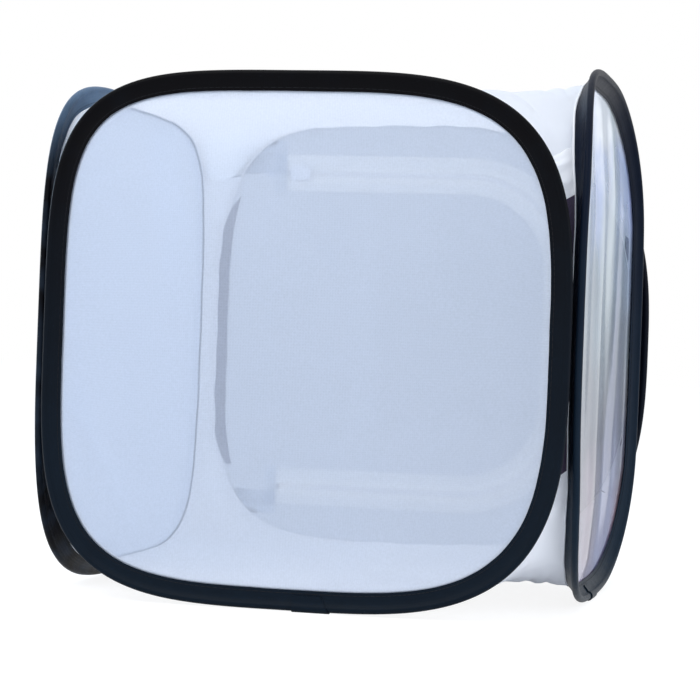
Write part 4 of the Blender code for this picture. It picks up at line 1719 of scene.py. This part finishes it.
@dataclass(frozen=True)
class Zip:
    """Zip tapes, coils and end patches, with the slider and its pull."""

    line: ZipLine
    palette: Palette
    nodes: dict[str, Piece]
    tape_edge: float = 0.0014
    tape_width: float = 0.0115
    tape_off: float = 0.00075
    tape_inner_off: float = -0.0008
    tape_step: Pair = (0.0046, 0.0060)
    tape_wave: float = 0.0003
    tape_wave_scale: float = 60
    tape_thickness: float = 0.0004
    tape_faces: Faces = (220, 24)
    coil_pitch: float = 0.0016
    coil_radius: float = 0.00027
    coil_half_width: float = 0.0013
    coil_middle: float = 0.00075
    coil_half_height: float = 0.0008
    coil_steps: int = 8
    coil_sides: int = 4
    teeth_starts: Pair = (0.0087, 0.030)
    patch_faces: Faces = (10, 24)
    patch_swell: float = 0.0004
    patch_rise: float = 6
    edge_radius: float = 0.00025
    edge_segments: int = 3
    flat_angle: float = math.radians(2)

    def thicken(self, piece: Piece, offset: float) -> None:
        """Gives a tape or patch its thickness, offset from -1 for inwards to 1 for outwards."""
        wall = piece.modifiers.new("thickness", "SOLIDIFY")
        wall.thickness, wall.offset = self.tape_thickness, offset

    def tape(self, row: Row) -> None:
        """Makes one tape: the back's, or the door's, whose ends are sewn to the back.

        Args:
            row: The half of the zip that it carries.
        """
        side, label, length = row.value, row.name.lower(), self.line.length
        start, end = self.tape_step

        def place(s: float, t: float) -> Vector:
            """Finds a point of the tape, which steps down to the panel beside the coil.

            Args:
                s: Share of its length.
                t: Share of its width.

            Returns:
                The point.
            """
            beside = self.tape_edge + self.tape_width * t
            at = s * length
            sunk = smooth((beside - start) / (end - start))
            wave = self.tape_wave * noise.noise(Vector((at * self.tape_wave_scale, side * 5.0, 0.0))) * sunk
            return self.line.point(at, side * beside, mix(self.tape_off, self.tape_inner_off, sunk) + wave)

        bm = grid_mesh(self.tape_faces, place, (length, self.tape_width))
        piece = link(f"zip_{label}_tape", bm)
        self.thicken(piece, 0.0)
        self.palette.dress(piece, "zip_tape", Body.BACK if row is Row.OUTER else None)
        if row is Row.INNER:
            self.line.bend(piece)
        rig.replaces(piece, f"zip_tape_{label}")
        rests_on = ["back_mesh_sheet" if row is Row.OUTER else "door_mesh_sheet"]
        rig.sheet(piece, flat=(self.tape_width, length), held="stretched", rests_on=rests_on)

    def coil(self, row: Row) -> None:
        """Makes one row of the zip's coil, whose turns lie between the other row's.

        Args:
            row: The half of the zip.
        """
        side, label, outer = row.value, row.name.lower(), row is Row.OUTER
        start = self.teeth_starts[0 if outer else 1]
        length = self.line.length - 2 * start
        turns = round(length / self.coil_pitch)

        def line(s: float) -> Axes:
            """Finds the axes of the coil's thread.

            Args:
                s: Share of its length.

            Returns:
                Its centre and two directions across it.
            """
            phase = math.tau * (s * turns + (0.25 if outer else 0.75))
            beside = self.coil_middle + self.coil_half_width * math.cos(phase)
            off = self.tape_off + self.coil_half_height * math.sin(phase)
            at = start + s * length
            centre = self.line.point(at, side * beside, off)
            out = self.line.point(at, side * (beside + math.cos(phase)), off + math.sin(phase))
            angle = self.line.flat(at)[2]
            return centre, (out - centre).normalized(), Vector((math.sin(angle), 0.0, -math.cos(angle)))

        piece = link(
            f"zip_{label}_coil", thread_mesh(line, turns * self.coil_steps, self.coil_sides, self.coil_radius)
        )
        self.palette.dress(piece, "nylon", Body.BACK if outer else Body.DOOR, f"zip_teeth_{label}")

    def patch(self, end: str) -> None:
        """Makes the cloth patch over a zip end from the solid's outer size.

        Args:
            end: Which end it covers.
        """
        node = f"zip_end_patch_{end}"
        low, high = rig.box(node)

        def place(s: float, t: float) -> Vector:
            """Finds a point of the patch, which swells from its rim.

            Args:
                s: Share of its width.
                t: Share of its height.

            Returns:
                The point.
            """
            swell = self.patch_swell * smooth(min(s, 1 - s, t, 1 - t) * self.patch_rise)
            return Vector((mix(low.x, high.x, s), mix(low.y, high.y, 0.5) + swell, mix(low.z, high.z, t)))

        piece = link(f"zip_patch_{end}", grid_mesh(self.patch_faces, place, (high.x - low.x, high.z - low.z)))
        self.thicken(piece, -1.0)
        self.palette.dress(piece, "zip_tape", Body.BACK, node)

    def cast(self, name: str, node: str, body: Body) -> None:
        """Makes a softened copy of a metal solid.

        Args:
            name: The piece's name.
            node: The solid.
            body: The body that it rides on.
        """
        bm = bmesh.new()
        bm.from_mesh(self.nodes[node].data)
        bmesh.ops.remove_doubles(bm, verts=bm.verts, dist=MERGE)
        bmesh.ops.dissolve_limit(bm, angle_limit=self.flat_angle, verts=bm.verts, edges=bm.edges)
        bmesh.ops.recalc_face_normals(bm, faces=bm.faces)
        piece = link(name, bm)
        edges = piece.modifiers.new("edges", "BEVEL")
        edges.width, edges.segments, edges.limit_method = self.edge_radius, self.edge_segments, "ANGLE"
        self.palette.dress(piece, "enamel", body, node)

    def build(self) -> None:
        """Makes all pieces."""
        for row in Row:
            self.tape(row)
        for row in Row:
            self.coil(row)
        for end in ("top", "bottom"):
            self.patch(end)
        self.cast("zip_slider_body", "zip_slider", Body.SLIDER)
        self.cast("zip_pull_tab", "zip_pull", Body.PULL)
        LOG.info("zip with its slider and pull")


def by_length(points: list[Vector]) -> Curve:
    """Measures a line of points.

    Args:
        points: The points.

    Returns:
        A function that gives the point at a share of the line's length.
    """
    travelled = [0.0]
    for first, second in zip(points, points[1:]):
        travelled.append(travelled[-1] + (second - first).length)

    def at(share: float) -> Vector:
        """Finds a point of the line.

        Args:
            share: Share of its length.

        Returns:
            The point.
        """
        wanted = share * travelled[-1]
        n = next((n for n in range(1, len(points)) if travelled[n] >= wanted), len(points) - 1)
        span = travelled[n] - travelled[n - 1]
        part = 0.0 if span < 1e-9 else (wanted - travelled[n - 1]) / span
        return points[n - 1].lerp(points[n], min(1.0, part))

    return at


@dataclass
class Cover:
    """Top or floor: four sectors, one sewn to each loop, and an ear down every corner."""

    upper: bool
    loops: dict[Body, LoopShape]
    corners: list[Corner]
    palette: Palette
    split: float = 0.62
    ridge_steps: int = 24
    seam_steps: int = 40
    faces: Faces = (96, 28)
    depth: float = 0.15
    sag: float = 0.0030
    pleat: float = 0.0024
    pleat_scale: Pair = (9, 1.5)
    pleat_shift: Pair = (40, 70)
    pleat_ends: Pair = (0.15, 0.1)
    folds: tuple[float, ...] = (0.14, 0.27, 0.52)
    fold_width: float = 0.035
    fold_height: float = 0.0016
    fold_end: float = 0.8
    fold_fade: float = 0.4
    keep: float = 0.04
    ear_faces: Faces = (10, 40)
    ear_size: Pair = (0.015, 0.11)
    ear_bow: float = 0.0012
    ear_scale: float = 7
    ear_shift: float = 50
    lined_bow: float = 0.4
    lined_inset: float = 0.0009
    slant: float = 0.05
    sector_cut: Pair = (0.30, 0.17)
    ear_cut: Pair = (0.02, 0.13)

    @property
    def label(self) -> str:
        """Name of the cover."""
        return "top" if self.upper else "floor"

    def middle(self) -> Vector:
        """Returns the point where the sectors meet."""
        points = [loop.seam(1, self.upper, 0.0) for loop in self.loops.values()]
        return sum(points, Vector()) / len(points)

    def ridge(self, corner: Corner) -> Curve:
        """Returns the line from the cover's middle to the top of a corner's ear."""
        shares = [self.split * n / self.ridge_steps for n in range(self.ridge_steps + 1)]
        return by_length([self.middle()] + [corner.rung(self.upper, share, 0.5) for share in shares])

    def seam(self, loop: LoopShape, side: int) -> Curve:
        """Returns the seam from the middle of a loop's run to the top of the ear."""
        shares = [self.split * n / self.seam_steps for n in range(self.seam_steps + 1)]
        return by_length([loop.seam(side, self.upper, share) for share in shares])

    def sector(self, loop: LoopShape) -> Piece:
        """Makes the part of the cover between a loop's seam and the ridges beside it.

        Args:
            loop: The loop.

        Returns:
            The sector, which is squashed as the cage folds.
        """
        seams = {side: self.seam(loop, side) for side in (1, -1)}
        ridges = {side: self.ridge(next(c for c in self.corners if c.joins(loop, side))) for side in (1, -1)}
        down = -1 if self.upper else 1
        shift = loop.foot.x * self.pleat_shift[0] + loop.foot.y * self.pleat_shift[1]
        across, along = self.pleat_scale

        def place(s: float, t: float) -> Vector:
            """Finds a point of the sector, which sags, creases and puckers between its edges.

            Args:
                s: Share of the way along the loop's run.
                t: Share of the way from the seam to the ridge.

            Returns:
                The point.
            """
            p = 2 * s - 1
            side = 1 if p >= 0 else -1
            at = seams[side](abs(p)).lerp(ridges[side](abs(p)), t)
            fullness = (1 - abs(p)) * math.sin(math.pi * t)
            pleat = noise.noise(Vector((p * across, t * along, shift))) * self.pleat
            tight = smooth(t / self.pleat_ends[0]) * smooth((1 - t) / self.pleat_ends[1])
            fold = sum(math.exp(-(((t - middle) / self.fold_width) ** 2)) for middle in self.folds)
            lines = self.fold_height * fold * smooth((self.fold_end - abs(p)) / self.fold_fade)
            return at + UP * (down * (self.sag * fullness + lines) + pleat * tight)

        bm = grid_mesh(self.faces, place, (loop.behind + loop.ahead, self.depth))
        finish = "top_fabric" if self.upper else "fabric"
        piece = self.palette.dress(link(f"{self.label}_{loop.name}_sector", bm), finish, loop.body)
        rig.squash(piece, "fold", loop.outward, loop.seam(1, self.upper, 0.5), self.keep)
        return piece

    def ear(self, corner: Corner) -> list[Piece]:
        """Makes the ear that runs along a corner.

        Args:
            corner: The corner.

        Returns:
            The ear, in one piece or two.
        """
        tip = corner.tip(self.upper)
        bow_share, inset = (self.lined_bow, self.lined_inset) if corner.lined else (1.0, 0.0)

        def place(s: float, t: float) -> Vector:
            """Finds a point of the ear, which runs to the corner's middle where that is lined.

            Args:
                s: Share of the way across the corner.
                t: Share of the ear's length.

            Returns:
                The point.
            """
            end = 1.0 if corner.lined else tip + self.slant * abs(2 * s - 1) * 0.5
            ripple = noise.noise(Vector((0.0, t * self.ear_scale, corner.first.foot.y * self.ear_shift)))
            bow = self.ear_bow * math.sin(math.pi * s) * ripple
            at = corner.rung(self.upper, mix(self.split, end, t), s)
            return at + corner.away() * (bow * bow_share - inset * math.sin(math.pi * s))

        name = f"{self.label}_{corner.name}_ear"
        return corner.strips(name, "fabric", self.palette, self.ear_faces, place, self.ear_size)

    def build(self) -> None:
        """Makes the sectors and the ears, each declared as a sheet that the bindings hold."""
        sectors = [self.sector(loop) for loop in self.loops.values()]
        ears = [piece for corner in self.corners for piece in self.ear(corner)]
        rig.replaces(sectors[0], f"{self.label}_panel")
        for pieces, cut in ((sectors, self.sector_cut), (ears, self.ear_cut)):
            for piece in pieces:
                declare_cut(piece, *cut, [loop.tape_name for loop in self.loops.values()])
        LOG.info("%s with %d sectors and %d ears", self.label, len(sectors), len(ears))


@dataclass(frozen=True)
class CornerTape:
    """Dark tape that closes a corner between its ears, with a lens-shaped facing where they run through."""

    corner: Corner
    palette: Palette
    tuck: float = 0.03
    faces: Faces = (10, 64)
    size: Pair = (0.016, 0.15)
    cut: Pair = (0.02, 0.16)
    bow: float = 0.0005
    wave: float = 0.0009
    wave_scale: Triple = (2, 30, 9)
    proud: float = 0.0003
    facing_tuck: float = 0.105
    facing_lap: float = 0.0055
    facing_width: float = 0.0125
    facing_length: float = 0.19
    facing_raise: float = 0.0011
    facing_blunt: float = 0.12
    facing_taper: float = 2.4

    def place(self, s: float, t: float) -> Vector:
        """Finds a point of the tape.

        Args:
            s: Share of the way across the corner.
            t: Share of the way from the upper ear to the lower one.

        Returns:
            The point.
        """
        upper = t < 0.5
        part = 2 * t if upper else 2 - 2 * t
        at = self.corner.rung(upper, mix(self.corner.tip(upper) - self.tuck, 1.0, part), s)
        across, upright, shift = self.wave_scale
        wave = noise.noise(Vector((s * across, at.z * upright, self.corner.first.foot.x * shift)))
        bow = (self.bow + self.wave * wave) * math.sin(math.pi * s)
        return at + self.corner.away().normalized() * (bow + self.proud)

    def facing_point(self, s: float, t: float) -> Vector:
        """Finds a point of the facing, whose first edge lies straight on the first loop's panel.

        Args:
            s: Share of its width.
            t: Share of the way down it.

        Returns:
            The point.
        """
        first, upper = self.corner.first, t < 0.5
        section = first.section
        part = 2 * t if upper else 2 - 2 * t
        share = mix(self.corner.tip(upper) - self.facing_tuck, 1.0, part)
        full = part if upper else mix(self.facing_blunt, 1.0, part)
        across = s * self.facing_width * (1 - (1 - full) ** self.facing_taper)
        lap = max(0.0, self.facing_lap - across)
        spot = Spot(self.corner.first_side, upper, share)
        at = first.point(spot, section.seam_reach + lap, section.seam_off - self.facing_raise)
        if across <= self.facing_lap:
            return at
        start, end = self.corner.rung(upper, share, 0.0), self.corner.rung(upper, share, 1.0)
        return at + (end - start).normalized() * (across - self.facing_lap)

    def facing(self) -> None:
        """Makes the facing."""
        size = (self.facing_width, self.facing_length)
        bm = grid_mesh(self.faces, self.facing_point, size)
        piece = self.palette.dress(link(f"{self.corner.name}_facing", bm), "corner_tape")
        self.corner.carry(piece)
        declare_cut(piece, *size, [f"{self.corner.first.name}_mesh_sheet"])

    def build(self) -> None:
        """Makes the tape, and the facing where the corner is lined."""
        corner = self.corner
        name = f"{corner.name}_tape"
        pieces = corner.strips(name, "corner_tape", self.palette, self.faces, self.place, self.size)
        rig.replaces(pieces[0], f"{corner.name}_corner_tape")
        for piece in pieces:
            declare_cut(piece, *self.cut, [loop.tape_name for loop in (corner.first, corner.second)])
        if corner.lined:
            self.facing()
        LOG.info("%s corner tape", corner.name)


@dataclass(frozen=True)
class Softbox:
    """A rectangular studio light."""

    name: str
    place: Triple
    width: float
    height: float
    watts: float
    colour: Colour = WHITE
    aim: Triple = (0.0, 0.0, 0.15)

    def build(self) -> None:
        """Makes the light."""
        data = bpy.data.lights.new(self.name, "AREA")
        data.shape = "RECTANGLE"
        data.size, data.size_y = self.width, self.height
        data.energy = self.watts
        data.color = self.colour
        lamp = bpy.data.objects.new(self.name, data)
        bpy.context.scene.collection.objects.link(lamp)
        lamp.location = self.place
        heading = Vector(self.aim) - Vector(self.place)
        lamp.rotation_euler = heading.to_track_quat("-Z", "Y").to_euler()


@dataclass(frozen=True)
class View:
    """The photo's camera."""

    azimuth: float = 12.25
    elevation: float = 0.166
    roll: float = -2.13
    distance: float = 1.3895
    target: Triple = (-0.0104, -0.0018, 0.148)
    focal_pixels: float = 2200.3
    picture: float = 700.0
    sensor_width: float = 36.0
    clip_end: float = 50.0

    def build(self) -> None:
        """Makes the camera and gives it to the scene."""
        az, el = math.radians(self.azimuth), math.radians(self.elevation)
        ahead = Vector((-math.sin(az) * math.cos(el), math.cos(az) * math.cos(el), -math.sin(el)))
        right = Vector((math.cos(az), math.sin(az), 0.0))
        above = right.cross(ahead)
        turn = math.radians(-self.roll)
        rolled_right = right * math.cos(turn) + above * math.sin(turn)
        rolled_above = above * math.cos(turn) - right * math.sin(turn)
        data = bpy.data.cameras.new("photo_view")
        data.sensor_width = self.sensor_width
        data.lens = self.focal_pixels / self.picture * data.sensor_width
        data.clip_end = self.clip_end
        camera = bpy.data.objects.new("photo_view", data)
        bpy.context.scene.collection.objects.link(camera)
        place = Vector(self.target) - ahead * self.distance
        axes = Matrix((rolled_right, rolled_above, -ahead)).transposed().to_4x4()
        camera.matrix_world = Matrix.Translation(place) @ axes
        bpy.context.scene.camera = camera


@dataclass(frozen=True)
class Studio:
    """Pale floor, white surroundings and soft light."""

    floor_half: float = 9.0
    floor_colour: Colour = (0.86, 0.87, 0.89)
    floor_white: float = 0.76
    floor_glow: float = 1.15
    surroundings: Colour = (0.80, 0.87, 1.0)
    strength: float = 0.79
    through_cloth: Colour = (0.44, 0.47, 0.52)
    lights: tuple[Softbox, ...] = (
        Softbox("key", (-0.7, -1.7, 1.9), 1.6, 1.2, 27.0, (1.0, 0.985, 0.96)),
        Softbox("left_back", (-1.7, 0.9, 0.9), 1.4, 1.2, 22.0, (0.60, 0.77, 1.0)),
        Softbox("right", (1.9, -0.4, 0.9), 1.2, 1.4, 12.0, (0.95, 0.97, 1.0)),
        Softbox("over", (0.1, 0.2, 2.1), 1.6, 1.6, 13.0),
    )

    def floor(self) -> None:
        """Makes the floor, which looks white to the camera but keeps the shadow."""
        bm = bmesh.new()
        bmesh.ops.create_grid(bm, x_segments=1, y_segments=1, size=self.floor_half)
        piece = link("floor_plane", bm)
        graph = Graph("floor")
        plain = graph.shader("BsdfDiffuse", {"Color": self.floor_colour})
        white = graph.shader("Emission", {"Color": WHITE, "Strength": self.floor_glow})
        dull = graph.shader("Emission", {"Color": self.through_cloth, "Strength": 1.0})
        bright = graph.mixed(self.floor_white, plain, white)
        piece.data.materials.append(graph.finish(graph.by_ray(plain, bright, dull)))
        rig.stage(piece)

    def world(self) -> None:
        """Makes the surroundings: white where they are seen, softer where they light."""
        graph = Graph("surroundings", world=True)
        looks = ((self.surroundings, self.strength), (WHITE, 1.0), (self.through_cloth, 1.0))
        skies = [graph.shader("Background", {"Color": colour, "Strength": glow}) for colour, glow in looks]
        bpy.context.scene.world = graph.finish(graph.by_ray(*skies))

    def build(self) -> None:
        """Makes the studio."""
        self.floor()
        self.world()
        for light in self.lights:
            light.build()
        bpy.context.scene.view_settings.view_transform = "Standard"
        LOG.info("studio")


def finish_solids(nodes: dict[str, Piece], palette: Palette) -> None:
    """Gives the solids that stay in view their procedural metal.

    Args:
        nodes: The frame's solids by name.
        palette: The finishes.
    """
    steel, _ = palette.finishes["steel"]
    for name, node in nodes.items():
        if not node.hide_render:
            node.data.materials.clear()
            node.data.materials.append(steel)
            LOG.info("solid kept: %s", name)


LEFT_CREASES = (
    Crease((0.004, 0.310), (0.080, 0.160), 0.0050, 0.0050),
    Crease((0.028, 0.312), (0.100, 0.170), 0.0045, 0.0060),
    Crease((0.052, 0.312), (0.118, 0.190), 0.0042, 0.0050),
    Crease((-0.140, 0.150), (0.040, 0.000), 0.0065, 0.0055),
    Crease((-0.125, 0.190), (-0.060, 0.050), 0.0070, 0.0045),
)


def main() -> None:
    """Builds the cage on its frame, then the studio and the camera."""
    logging.basicConfig(level=logging.INFO, format="%(message)s")
    for old in list(bpy.data.objects):
        bpy.data.objects.remove(old, do_unlink=True)
    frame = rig.load()
    solid_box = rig.bounds()
    palette = Palette.mixed()
    layout = Layout.from_frame(frame["joints"])
    loops = layout.loops()
    corners = layout.corners(loops)
    for loop in loops.values():
        Binding(loop, palette).build()
    front, left, back, right = loops.values()
    Panel("front_mesh_sheet", front).build(palette, "mesh", "front_mesh")
    side = Panel("left_mesh_sheet", left, creases=LEFT_CREASES, ripple=0.0016)
    side.build(palette, "side_mesh", "left_mesh")
    window = Panel("window_sheet", right, ripple=0.0022, ripple_scale=(24.0, 3.5))
    window.build(palette, "window_film", "right_window")
    line = ZipLine(layout)
    BackPanel(back, line, palette).build()
    Zip(line, palette, frame["nodes"]).build()
    for upper in (True, False):
        Cover(upper, loops, corners, palette).build()
    for corner in corners:
        CornerTape(corner, palette).build()
    finish_solids(frame["nodes"], palette)
    Studio().build()
    View().build()
    with open(SIZE_FILE, "w") as out:
        json.dump({"solid": [list(v) for v in solid_box], "seen": [list(v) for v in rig.bounds()]}, out)


if __name__ == "__main__":
    main()
